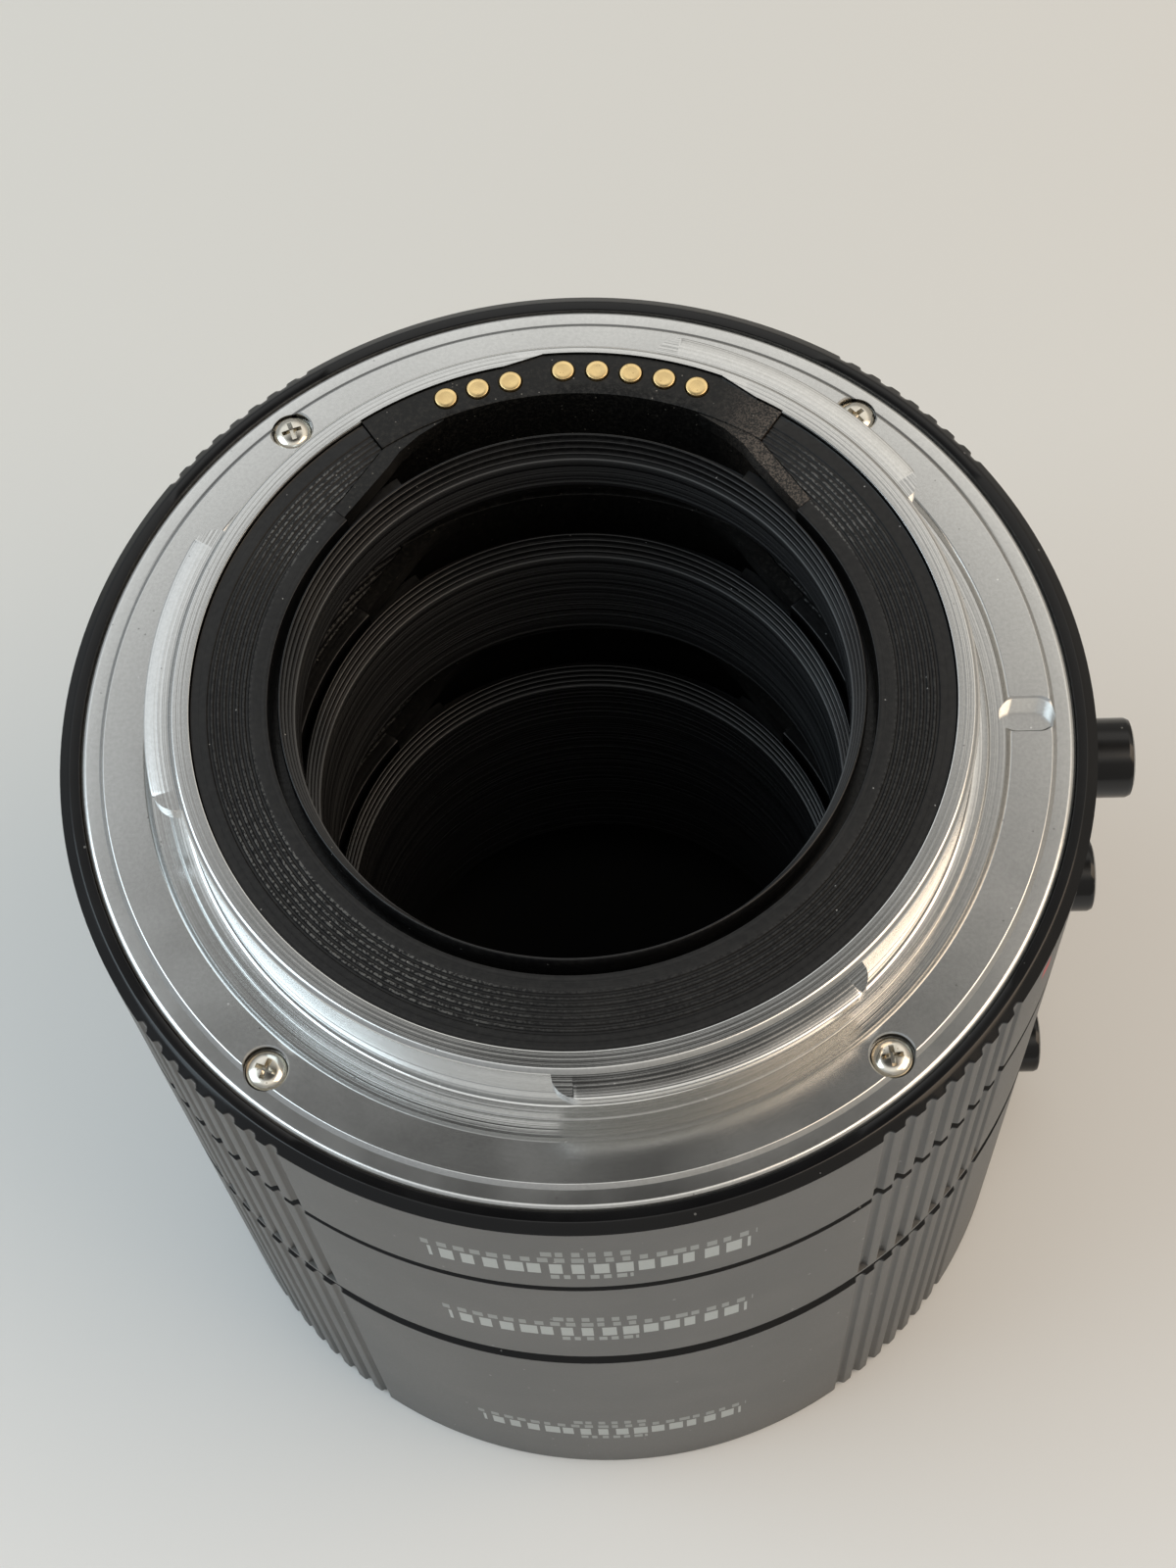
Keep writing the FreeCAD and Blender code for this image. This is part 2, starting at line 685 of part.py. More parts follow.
def make_front_mount(tube):
    """Female bayonet ring: plate with three tabs, screw seats and lock pin hole."""
    body = new_body(f"front_mount_{tube['name']}", tube["base"])
    back = front_ring_thickness
    turned(body, "plate", [
        (throat_radius + front_ring_bevel, 0), (front_ring_radius, 0), (front_ring_radius, back),
        (throat_radius, back), (throat_radius, front_ring_bevel)])
    for name, angle in lugs.items():
        turned(body, f"tab_{name}", [
            (tab_bore, back - tab_thickness), (throat_radius + 1, back - tab_thickness),
            (throat_radius + 1, back), (tab_bore, back)], tab_span, angle)
    heads = plan_sketch(body, "head_seats", 0)
    shanks = plan_sketch(body, "shank_holes", 0)
    for across, up in screw_places():
        add_circle(heads, across, up, screw_head_radius + fit)
        add_circle(shanks, across, up, screw_shank_radius + fit)
    sunk(body, heads, screw_sink, upwards=True)
    sunk(body, shanks, back, upwards=True)
    pin_hole = plan_sketch(body, "lock_pin_hole", 0)
    add_circle(pin_hole, slot_radius, 0, lock_pin_radius + running_gap)
    sunk(body, pin_hole, back, upwards=True)
    pegs = plan_sketch(body, "peg_holes", back)
    add_circle(pegs, slot_radius, peg_offset, peg_radius)
    add_circle(pegs, slot_radius, -peg_offset, peg_radius)
    sunk(body, pegs, peg_depth)
    return body


def make_mount_spring(tube):
    """Pressed leaf spring behind the tabs, open where the lock housing stands."""
    body = new_body(f"mount_spring_{tube['name']}", tube["base"])
    low = front_ring_thickness
    high = low + leaf_thickness
    inner = throat_radius + leaf_thickness
    turned(body, "strip", [
        (inner, low), (inner + leaf_width, low), (inner + leaf_width, high), (inner, high)],
        360 - leaf_gap_angle, 180)
    for name, angle in lugs.items():
        turned(body, f"leaf_{name}", [
            (inner + leaf_width / 2, low), (inner + leaf_width / 2, high), (inner, high),
            (tab_bore + fit, high + leaf_rise), (tab_bore + fit, low + leaf_rise), (inner, low)],
            leaf_span, angle)
    return body


def make_front_contact_block(tube):
    """Carrier of the sprung pins, standing on the back of the front ring."""
    body = new_body(f"front_contact_block_{tube['name']}", tube["base"])
    low = collar_height + front_block_gap
    high = low + front_block_height
    wall = barrel_radius - barrel_wall - face_gap
    turned(body, "carrier", [
        (contact_inner_radius, low), (front_block_foot, low),
        (front_block_foot, front_ring_thickness), (wall, front_ring_thickness),
        (wall, high), (contact_inner_radius, high)], contact_span, contact_angle)
    shank_holes = plan_sketch(body, "shank_bores", low)
    shoulder_bores = plan_sketch(body, "shoulder_bores", low + front_block_floor)
    for across, up in contact_places():
        add_circle(shank_holes, across, up, pin_shank_radius + running_gap)
        add_circle(shoulder_bores, across, up, pin_shoulder_radius + running_gap)
    sunk(body, shank_holes, front_block_floor, upwards=True)
    shoulder_room = pin_shoulder_height + pin_travel + 2 * face_gap
    sunk(body, shoulder_bores, shoulder_room, upwards=True)
    return body


def make_contact_pins(label, tube, places):
    """Sprung contact pins; those of a mated tube are pressed up by the pads below."""
    body = new_body(label, tube["base"], group=len(places) > 1)
    lift = pin_press if tube["mated"] else as_size(0)
    tip = collar_height - pin_press + lift
    shoulder = collar_height + front_block_gap + front_block_floor + face_gap + lift
    shanks = plan_sketch(body, "shank", tip)
    shoulders = plan_sketch(body, "shoulder", shoulder)
    for across, up in places:
        add_circle(shanks, across, up, pin_shank_radius)
        add_circle(shoulders, across, up, pin_shoulder_radius)
    raised(body, shanks, shoulder - tip + pin_shoulder_height)
    raised(body, shoulders, pin_shoulder_height)
    return body


def make_release_button(tube):
    """Round button with an inner stop flange and a cone that lifts the lock pin."""
    body = new_body(f"release_button_{tube['name']}", tube["base"])
    body.Placement.Rotation = FreeCAD.Rotation(FreeCAD.Vector(0, 1, 0), 90)
    body.setExpression("Placement.Base.z", (tube["base"] + button_height).text)
    flange_out = barrel_radius - button_wall - 2 * face_gap
    flange_in = flange_out - button_flange_thickness
    tip = slot_radius + lock_pin_radius
    cone = tip + button_stem_radius
    face = barrel_radius + button_proud
    turned(body, "stem", [
        (0, tip + button_tip_radius), (button_tip_radius, tip + button_tip_radius),
        (button_stem_radius, cone), (button_stem_radius, flange_in),
        (button_flange_radius, flange_in), (button_flange_radius, flange_out),
        (button_radius, flange_out), (button_radius, face), (0, face)])
    round_edges(body, "face_edge", button_fillet,
                lambda edge: len(edge.Vertexes) == 1
                and abs(edge.Vertexes[0].Point.z - face.value) < 0.001
                and abs(edge_radius(edge) - button_radius.value) < 0.01)
    return body


def make_lock_pin(tube):
    """Lock pin with the notch that the button's cone works in."""
    lift = as_size(0) if tube["mated"] else lock_pin_reach
    body = new_body(f"lock_pin_{tube['name']}", tube["base"] + lift)
    shank = plan_sketch(body, "shank", lock_pin_bevel - lock_pin_reach)
    add_circle(shank, slot_radius, 0, lock_pin_radius)
    raised(body, shank, lock_pin_top + lock_pin_reach - lock_pin_bevel)
    nose = plan_sketch(body, "nose", -lock_pin_reach)
    add_circle(nose, slot_radius, 0, lock_pin_radius - lock_pin_bevel)
    raised(body, nose, lock_pin_bevel)
    notch = new_sketch(body, "notch", "XZ_Plane")
    deep = slot_radius + lock_pin_radius - button_travel - ramp_gap
    middle = button_height - button_travel
    outer = slot_radius + lock_pin_radius + 2 * ramp_gap
    reach = outer - deep
    add_outline(notch, [(deep, middle), (outer, middle + reach), (outer, middle - reach)])
    cut = sunk(body, notch, 4 * lock_pin_radius)
    cut.Midplane = True
    return body


def make_lock_spring(tube):
    """Coil spring between the lock pin and the roof of its housing."""
    lift = as_size(0) if tube["mated"] else lock_pin_reach
    body = new_body(f"lock_spring_{tube['name']}", tube["base"])
    body.Placement.Base.x = slot_radius.value
    body.setExpression("Placement.Base.x", slot_radius.text)
    low = lock_pin_top + lift + spring_wire
    high = housing_top - housing_roof - spring_wire
    wire = new_sketch(body, "wire", "XZ_Plane")
    add_outline(wire, [
        (spring_radius - spring_wire, low - spring_wire), (spring_radius + spring_wire, low - spring_wire),
        (spring_radius + spring_wire, low + spring_wire), (spring_radius - spring_wire, low + spring_wire)])
    coil = body.newObject("PartDesign::AdditiveHelix", f"{body.Name}_coil")
    coil.Profile = wire
    coil.ReferenceAxis = (wire, ["V_Axis"])
    coil.Mode = 2
    coil.Height = (high - low).value
    coil.Turns = spring_turns.value
    coil.setExpression("Height", (high - low).text)
    coil.setExpression("Turns", spring_turns.text)
    wire.Visibility = False
    return body


def make_lock_housing(tube):
    """Guide block of lock pin and spring, pegged to the back of the front ring."""
    body = new_body(f"lock_housing_{tube['name']}", tube["base"])
    half = housing_width / 2
    block = plan_sketch(body, "block", front_ring_thickness)
    add_outline(block, [
        (housing_inner, -half), (housing_outer, -half), (housing_outer, half), (housing_inner, half)])
    raised(body, block, housing_top - front_ring_thickness)
    round_edges(body, "corners", housing_corner, is_upright)
    pegs = plan_sketch(body, "pegs", front_ring_thickness - peg_depth)
    add_circle(pegs, slot_radius, peg_offset, peg_radius)
    add_circle(pegs, slot_radius, -peg_offset, peg_radius)
    raised(body, pegs, peg_depth)
    bore = plan_sketch(body, "pin_bore", front_ring_thickness)
    add_circle(bore, slot_radius, 0, lock_pin_radius + running_gap)
    sunk(body, bore, housing_top - housing_roof - front_ring_thickness, upwards=True)
    stem_hole = new_sketch(body, "stem_hole", "YZ_Plane")
    stem_hole.AttachmentOffset = FreeCAD.Placement(
        FreeCAD.Vector(0, 0, slot_radius.value), FreeCAD.Rotation())
    stem_hole.setExpression("AttachmentOffset.Base.z", slot_radius.text)
    add_circle(stem_hole, 0, button_height, button_stem_radius + running_gap)
    sunk(body, stem_hole, housing_outer - slot_radius + 1, upwards=True)
    return body


def make_flex_strip(tube):
    """Flexible circuit from the front contact block to the rear one."""
    body = new_body(f"flex_strip_{tube['name']}", tube["base"])
    low = collar_height + front_block_gap + front_block_height
    high = tube["length"] - contact_foot_depth
    turned(body, "ribbon", [
        (strip_radius, low), (strip_radius + strip_thickness, low),
        (strip_radius + strip_thickness, high), (strip_radius, high)],
        strip_span, contact_angle)
    return body


# The three tubes, from the lowest to the highest

tubes = [
    {"name": "36", "length": length_long, "base": as_size(0), "mated": False,
     "front_bevel": front_bevel_long, "grip_end": as_size(0)},
    {"name": "20", "length": length_middle, "base": length_long, "mated": True,
     "front_bevel": front_bevel_middle, "grip_end": grip_end_middle},
    {"name": "13", "length": length_short, "base": length_long + length_middle, "mated": True,
     "front_bevel": front_bevel_short, "grip_end": as_size(0)},
]

pieces = []
for tube in tubes:
    name = tube["name"]
    pieces.append(make_barrel(tube))
    pieces.append(make_rear_mount(tube))
    pieces.append(make_screws(f"rear_screws_{name}", tube["base"], tube["length"], True))
    pieces.append(make_light_baffle(tube))
    pieces.append(make_inner_sleeve(tube))
    pieces.append(make_rear_contact_block(tube))
    pieces.append(make_rear_contacts(tube))
    pieces.append(make_front_mount(tube))
    pieces.append(make_screws(f"front_screws_{name}", tube["base"], as_size(0), False))
    pieces.append(make_mount_spring(tube))
    pieces.append(make_front_contact_block(tube))
    if tube["mated"]:
        pieces.append(make_contact_pins(f"contact_pins_{name}", tube, contact_places()))
    else:
        for number, place in enumerate(contact_places()):
            pieces.append(make_contact_pins(f"contact_pin_{number + 1}", tube, [place]))
    pieces.append(make_release_button(tube))
    pieces.append(make_lock_pin(tube))
    pieces.append(make_lock_spring(tube))
    pieces.append(make_lock_housing(tube))
    pieces.append(make_flex_strip(tube))

doc.recompute()

for item in doc.Objects:
    if "Invalid" in item.State or "Error" in item.State:
        raise RuntimeError(f"{item.Label} has state {item.State}")
for piece in pieces:
    if piece.Shape.isNull() or not piece.Shape.isValid():
        raise RuntimeError(f"{piece.Label} has no valid shape")

os.makedirs("parts", exist_ok=True)
for piece in pieces:
    piece.Shape.exportStep(f"parts/{piece.Label}.step")
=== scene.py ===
# %% [markdown]
# # A set of three macro extension tubes
# Three short aluminium tubes of 13, 20 and 36 mm stand locked on top of each other. The
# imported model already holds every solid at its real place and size, so this notebook only
# dresses it: turned metal, satin paint, gloss plastic, gold contacts and a soft studio.

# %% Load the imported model
import math
import bpy
import bmesh
from mathutils import Matrix, Vector


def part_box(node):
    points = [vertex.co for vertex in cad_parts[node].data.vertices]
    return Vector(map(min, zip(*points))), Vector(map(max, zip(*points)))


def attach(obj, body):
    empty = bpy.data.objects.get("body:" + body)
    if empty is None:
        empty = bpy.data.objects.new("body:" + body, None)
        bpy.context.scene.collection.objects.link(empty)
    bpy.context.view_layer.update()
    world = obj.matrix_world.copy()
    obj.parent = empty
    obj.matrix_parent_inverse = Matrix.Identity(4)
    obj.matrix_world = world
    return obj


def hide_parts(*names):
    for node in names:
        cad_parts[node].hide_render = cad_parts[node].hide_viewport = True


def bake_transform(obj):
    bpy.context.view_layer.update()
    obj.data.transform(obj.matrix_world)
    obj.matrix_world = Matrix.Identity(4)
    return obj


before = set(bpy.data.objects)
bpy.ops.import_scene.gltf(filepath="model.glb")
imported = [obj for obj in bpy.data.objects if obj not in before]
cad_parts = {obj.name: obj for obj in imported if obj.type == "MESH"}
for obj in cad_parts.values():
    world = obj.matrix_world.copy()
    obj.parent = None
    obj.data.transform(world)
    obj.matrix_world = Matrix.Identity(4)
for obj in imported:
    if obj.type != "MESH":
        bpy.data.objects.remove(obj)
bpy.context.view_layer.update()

# %% [markdown]
# ## The sizes that every piece shares
# All shapes below are drawn in millimetres, with Z along the optical axis, X towards the
# release buttons and Y towards the electrical contacts. Each piece is scaled to metres
# when it is finished. A tube is known by its base height and its length from flange to
# flange.

# %% Tubes and shared sizes
TUBES = {"13": (56, 13), "20": (36, 20), "36": (0, 36)}
BARREL_R = 33.4
FLANGE_R = 32
FLANGE_THICK = 2.2
COLLAR_R = 25.4
COLLAR_BORE = 24
BORE_R = 19.1
SLEEVE_R = 18.45
COLLAR_HIGH = 5.5
SCREW_CIRCLE = 29.7
SCREW_SINK = 0.9
SCREW_ANGLES = (50, 130, 230, 310)
LUG_ANGLES = (54, 174.7, 289.7)
GRIP_ANGLES = (46, 134, 226, 314)
GRIP_PITCH = 2.85
BLOCK_ANGLE = 89.7
BLOCK_SPAN = 69.6
WIDE_ANGLE = 80
WIDE_SPAN = 28
PAD_PITCH = 5.5
PAD_R = 0.73
BUTTON_HIGH = 6
STEPS = 240
print("tubes:", ", ".join(f"{length} mm at height {base}" for base, length in TUBES.values()))

# %% [markdown]
# ## The camera
# The photograph looks down at the stack from its print side. The camera's pitch, roll and
# place were fitted to the ellipses of the flange and to the screws. A long side of 36 mm of
# film with this focal length gives the same narrow view as the picture of 1200 x 1600.

# %% Camera at the photograph's angle
PITCH = math.radians(65.234)
ROLL = math.radians(-5.102)
forward = Vector((0, math.cos(PITCH), -math.sin(PITCH)))
level_up = Vector((0, math.sin(PITCH), math.cos(PITCH)))
right = math.cos(ROLL) * Vector((1, 0, 0)) + math.sin(ROLL) * level_up
up = math.cos(ROLL) * level_up - math.sin(ROLL) * Vector((1, 0, 0))
aim = Matrix((right, up, -forward)).transposed().to_4x4()
camera = bpy.data.objects.new("camera", bpy.data.cameras.new("camera"))
turn = Matrix.Rotation(math.radians(4.1), 4, "Z")
camera.matrix_world = turn @ Matrix.Translation((0.00048, -0.078142, 0.229141)) @ aim
camera.data.sensor_width = 36
camera.data.lens = 63.71
camera.data.clip_start = 0.01
bpy.context.scene.collection.objects.link(camera)
bpy.context.scene.camera = camera
print("camera at", [round(value, 4) for value in camera.matrix_world.translation])

# %% [markdown]
# ## Shapes turned on a lathe
# Nearly every piece here comes off a lathe, so the main tool is an outline of (radius,
# height) corners that is spun about Z. A third number rounds a corner before the spin,
# which is cheaper and cleaner than a bevel afterwards, and every edge catches the light
# as a real broken edge does. A part of a turn makes lugs and blocks.

# %% Outline, full turn and part of a turn
def draw_outline(bm, corners, closed=True):
    """Join corners to a wire and round those that carry a third number."""
    points = [bm.verts.new((corner[0], 0, corner[1])) for corner in corners]
    following = points[1:] + points[:1] if closed else points[1:]
    for start, end in zip(points, following):
        bm.edges.new((start, end))
    rounded = {}
    for point, corner in zip(points, corners):
        if len(corner) > 2:
            rounded.setdefault(corner[2], []).append(point)
    for size, group in rounded.items():
        bmesh.ops.bevel(bm, geom=group, offset=size, offset_type="OFFSET", segments=2,
                        profile=0.5, affect="VERTICES", material=-1)


def spin(bm, geom, degrees, steps, merge=False):
    """Spin geometry about the optical axis."""
    return bmesh.ops.spin(bm, geom=geom, cent=(0, 0, 0), axis=(0, 0, 1), dvec=(0, 0, 0),
                          angle=math.radians(degrees), steps=steps, use_merge=merge,
                          use_normal_flip=False, use_duplicate=False)["geom_last"]


def tidy(bm):
    """Close seams and poles and turn all faces outwards."""
    bmesh.ops.remove_doubles(bm, verts=bm.verts[:], dist=0.0005)
    bmesh.ops.recalc_face_normals(bm, faces=bm.faces[:])
    return bm


def turned(corners, steps=STEPS, closed=True):
    """A full ring, or a solid of revolution from an open outline that ends on the axis."""
    bm = bmesh.new()
    draw_outline(bm, corners, closed)
    spin(bm, bm.verts[:] + bm.edges[:], 360, steps, merge=True)
    return tidy(bm)


def sector(corners, middle, span, steps):
    """A closed block that follows the outline through part of a turn."""
    bm = bmesh.new()
    draw_outline(bm, corners)
    bmesh.ops.contextual_create(bm, geom=bm.edges[:])
    start = Matrix.Rotation(math.radians(middle - span / 2), 3, "Z")
    bmesh.ops.rotate(bm, cent=(0, 0, 0), matrix=start, verts=bm.verts[:])
    spin(bm, bm.verts[:] + bm.edges[:] + bm.faces[:], span, steps)
    return tidy(bm)


# %% [markdown]
# ## Cutting, joining and finishing
# Holes, slots and recesses are cut with the exact boolean, as a milling cutter would. A
# finished piece is scaled to metres, gets soft shading with sharp edges kept, rides on the
# CAD body that moves it, and says which CAD nodes it stands for.

# %% Booleans and finishing helpers
def as_object(bm, name):
    mesh = bpy.data.meshes.new(name)
    bm.to_mesh(mesh)
    bm.free()
    obj = bpy.data.objects.new(name, mesh)
    bpy.context.scene.collection.objects.link(obj)
    return obj


def machine(obj, bm, operation="DIFFERENCE"):
    """Cut a shape out of an object, or weld it on with operation UNION."""
    tool = as_object(bm, "tool")
    modifier = obj.modifiers.new("machine", "BOOLEAN")
    modifier.operation = operation
    modifier.solver = "EXACT"
    modifier.object = tool
    view = bpy.context.evaluated_depsgraph_get()
    mesh = bpy.data.meshes.new_from_object(obj.evaluated_get(view))
    obj.modifiers.clear()
    obj.data = mesh
    bpy.data.objects.remove(tool)


def moved(bm, x=0, y=0, z=0):
    bmesh.ops.translate(bm, vec=(x, y, z), verts=bm.verts[:])
    return bm


def polar(radius, degrees):
    return radius * math.cos(math.radians(degrees)), radius * math.sin(math.radians(degrees))


def finish_piece(obj, body, nodes, materials, sharp=32, stretch=None):
    """Scale to metres, shade, dress and hand the piece to its CAD body.

    A piece given stretch points stays where it is and is not handed to its body; the points are
    not used.
    """
    obj.data.transform(Matrix.Scale(0.001, 4))
    for material in materials:
        obj.data.materials.append(material)
    obj.data.polygons.foreach_set("use_smooth", [True] * len(obj.data.polygons))
    obj.data.set_sharp_from_angle(angle=math.radians(sharp))
    even = obj.modifiers.new("even_shading", "WEIGHTED_NORMAL")
    even.keep_sharp = True
    if stretch:
        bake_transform(obj)
    else:
        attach(obj, body)
    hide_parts(*nodes)
    print(f"{obj.name}: {len(obj.data.polygons)} faces, stands for {', '.join(nodes)}")
    return obj


# %% [markdown]
# ## Building blocks for the materials
# Materials are small networks of nodes. Three short helpers add a node, a sum and a
# group, so that each finish below reads as a recipe.

# %% Node helpers
def add_node(tree, kind, sockets=None, **settings):
    """Add a node, set its options, and set or link its sockets."""
    node = tree.nodes.new(kind)
    for name, value in settings.items():
        setattr(node, name, value)
    for name, value in (sockets or {}).items():
        if isinstance(value, bpy.types.NodeSocket):
            tree.links.new(value, node.inputs[name])
        else:
            node.inputs[name].default_value = value
    return node


def calc(tree, operation, *values, clamp=False):
    """One step of arithmetic; values are numbers or sockets."""
    node = add_node(tree, "ShaderNodeMath", dict(enumerate(values)), operation=operation)
    node.use_clamp = clamp
    return node.outputs[0]


def ramp(tree, value, low, high, to_low=0.0, to_high=1.0):
    """Stretch the range low to high onto a new range, smoothly and clamped."""
    node = add_node(tree, "ShaderNodeMapRange", {
        "Value": value, "From Min": low, "From Max": high, "To Min": to_low, "To Max": to_high})
    node.interpolation_type = "SMOOTHSTEP"
    return node.outputs["Result"]


def noise(tree, vector, scale, detail=2.0, rough=0.5):
    node = add_node(tree, "ShaderNodeTexNoise", {
        "Vector": vector, "Scale": scale, "Detail": detail, "Roughness": rough})
    return node.outputs["Fac"]


def blend(tree, amount, first, second):
    """Mix two colours."""
    node = add_node(tree, "ShaderNodeMix", data_type="RGBA")
    for name, value in (("Factor", amount), ("A", first), ("B", second)):
        socket = [item for item in node.inputs if item.name == name and item.enabled][0]
        if isinstance(value, bpy.types.NodeSocket):
            tree.links.new(value, socket)
        else:
            socket.default_value = value
    return [item for item in node.outputs if item.enabled][0]


def new_group(name, inputs, outputs):
    """An empty shader group with float inputs and outputs."""
    group = bpy.data.node_groups.new(name, "ShaderNodeTree")
    for label, value in inputs.items():
        socket = group.interface.new_socket(label, in_out="INPUT", socket_type="NodeSocketFloat")
        socket.default_value = value
    for label in outputs:
        group.interface.new_socket(label, in_out="OUTPUT", socket_type="NodeSocketFloat")
    entry = group.nodes.new("NodeGroupInput")
    leave = group.nodes.new("NodeGroupOutput")
    return group, entry.outputs, leave


def use(tree, group, **values):
    """Place a group in a network with its own values."""
    node = tree.nodes.new("ShaderNodeGroup")
    node.node_tree = group
    for name, value in values.items():
        socket = node.inputs[name.replace("_", " ")]
        if isinstance(value, bpy.types.NodeSocket):
            tree.links.new(value, socket)
        else:
            socket.default_value = value
    return node.outputs


# %% [markdown]
# ### Where a point lies on the turned body
# Lathe marks, print and wear all depend on the radius, the angle and the height of a
# point. One group works these out from Object coordinates, in millimetres and degrees.

# %% Group: place about the axis
axis_group, _, leave = new_group("place_about_axis", {}, ["Radius", "Angle", "Height"])
where = add_node(axis_group, "ShaderNodeTexCoord").outputs["Object"]
parts = add_node(axis_group, "ShaderNodeSeparateXYZ", {0: where}).outputs
across = calc(axis_group, "MULTIPLY", parts["X"], parts["X"])
along = calc(axis_group, "MULTIPLY", parts["Y"], parts["Y"])
radius = calc(axis_group, "SQRT", calc(axis_group, "ADD", across, along))
angle = calc(axis_group, "ARCTAN2", parts["Y"], parts["X"])
axis_group.links.new(calc(axis_group, "MULTIPLY", radius, 1000), leave.inputs["Radius"])
axis_group.links.new(calc(axis_group, "MULTIPLY", angle, math.degrees(1)), leave.inputs["Angle"])
axis_group.links.new(calc(axis_group, "MULTIPLY", parts["Z"], 1000), leave.inputs["Height"])
print("group place_about_axis: radius and height in mm, angle in degrees")

# %% [markdown]
# ### Lathe marks
# A turning tool leaves fine rings. A one-dimensional noise along radius plus height gives
# rings on a face and on a wall alike; a second, coarser one varies them in bands.

# %% Group: lathe marks
lathe_group, given, leave = new_group("lathe_marks", {"Rings per mm": 9.0}, ["Rings", "Bands"])
place = use(lathe_group, axis_group)
travel = calc(lathe_group, "ADD", place["Radius"], place["Height"])
fine = add_node(lathe_group, "ShaderNodeTexNoise", {
    "W": calc(lathe_group, "MULTIPLY", travel, given[0]), "Scale": 1.0, "Detail": 2.0},
    noise_dimensions="1D")
coarse = add_node(lathe_group, "ShaderNodeTexNoise", {
    "W": travel, "Scale": 0.9, "Detail": 1.0}, noise_dimensions="1D")
lathe_group.links.new(fine.outputs["Fac"], leave.inputs["Rings"])
lathe_group.links.new(coarse.outputs["Fac"], leave.inputs["Bands"])
print("group lathe_marks: rings and bands")

# %% [markdown]
# ### Specks and dust
# Paint and moulded plastic show a fine speckle, and dust lies on everything that faces
# up. Both are small cells of a Voronoi pattern that are kept only where their random
# value is high, so that the density has its own input.

# %% Group: specks
speck_group, given, leave = new_group(
    "specks", {"Cells per mm": 3.0, "Share": 0.1, "Size": 0.25}, ["Mask"])
where = add_node(speck_group, "ShaderNodeTexCoord").outputs["Object"]
scale = calc(speck_group, "MULTIPLY", given["Cells per mm"], 1000)
cells = add_node(speck_group, "ShaderNodeTexVoronoi", {"Vector": where, "Scale": scale})
pick = add_node(speck_group, "ShaderNodeSeparateColor", {0: cells.outputs["Color"]}).outputs[0]
kept = calc(speck_group, "LESS_THAN", pick, given["Share"])
spot = calc(speck_group, "LESS_THAN", cells.outputs["Distance"], given["Size"])
speck_group.links.new(calc(speck_group, "MULTIPLY", kept, spot), leave.inputs["Mask"])
print("group specks: a mask of scattered dots")

# %% [markdown]
# ### Printed rows
# Each barrel carries a few rows of pale print. Here they are plain bars of changing
# width: a window in arc length and height, cut into bars by a pattern of cells.

# %% Group: one row of printed bars
row_group, given, leave = new_group("printed_row", {
    "Middle height": 60.0, "Half height": 0.5, "Half length": 5.0, "Bars per mm": 1.0,
    "Filling": 0.7}, ["Mask"])
place = use(row_group, axis_group)
from_middle = calc(row_group, "SUBTRACT", place["Angle"], -89.5)
arc = calc(row_group, "MULTIPLY", from_middle, math.radians(BARREL_R))
rise = calc(row_group, "SUBTRACT", place["Height"], given["Middle height"])
in_height = calc(row_group, "LESS_THAN", calc(row_group, "ABSOLUTE", rise), given["Half height"])
in_length = calc(row_group, "LESS_THAN", calc(row_group, "ABSOLUTE", arc), given["Half length"])
bar = calc(row_group, "MULTIPLY", calc(row_group, "ADD", arc, 40), given["Bars per mm"])
random = add_node(row_group, "ShaderNodeTexWhiteNoise", {
    "W": calc(row_group, "FLOOR", bar)}, noise_dimensions="1D").outputs["Value"]
width = calc(row_group, "MULTIPLY", given["Filling"], calc(row_group, "ADD", random, 1))
filled = calc(row_group, "LESS_THAN", calc(row_group, "FRACT", bar), width)
window = calc(row_group, "MULTIPLY", in_height, in_length)
on_barrel = calc(row_group, "GREATER_THAN", place["Radius"], BARREL_R - 0.05)
window = calc(row_group, "MULTIPLY", window, on_barrel)
row_group.links.new(calc(row_group, "MULTIPLY", window, filled), leave.inputs["Mask"])
print("group printed_row: bars inside a window")

# %% [markdown]
# ## The finishes
# Every finish is one Principled shader. A helper makes the empty material and sets the
# plain numbers on the shader's own sockets; the recipes then link what varies.

# %% Helper for a finish
def new_finish(name, color, rough, metal=0.0, **plain):
    material = bpy.data.materials.new(name)
    material.use_nodes = True
    tree = material.node_tree
    shader = tree.nodes["Principled BSDF"]
    shader.inputs["Base Color"].default_value = (*color, 1)
    shader.inputs["Roughness"].default_value = rough
    shader.inputs["Metallic"].default_value = metal
    for label, value in plain.items():
        shader.inputs[label.replace("_", " ")].default_value = value
    material.diffuse_color = (*color, 1)
    return material, tree, shader


def add_bump(tree, shader, height, depth_mm, strength=1.0):
    bump = add_node(tree, "ShaderNodeBump", {
        "Height": height, "Distance": depth_mm / 1000, "Strength": strength})
    tree.links.new(bump.outputs["Normal"], shader.inputs["Normal"])


def object_place(tree):
    return add_node(tree, "ShaderNodeTexCoord").outputs["Object"]


# %% [markdown]
# ### Satin barrel paint with print
# The barrels are anodised in a warm charcoal with a fine grain. Print and index mark are
# part of this finish, so every tube gets its own copy with its own heights.

# %% Finish: satin barrel
# Offset from the print's middle, half height, half length, bars per mm, filling, strength
PRINT_ROWS = (
    (2.6, 0.5, 2.9, 1.0, 0.42, 0.5), (1.25, 0.5, 10.6, 0.95, 0.4, 0.5),
    (-0.75, 1.1, 10.2, 0.72, 0.47, 0.9), (-2.65, 0.45, 2.7, 1.2, 0.42, 0.6))


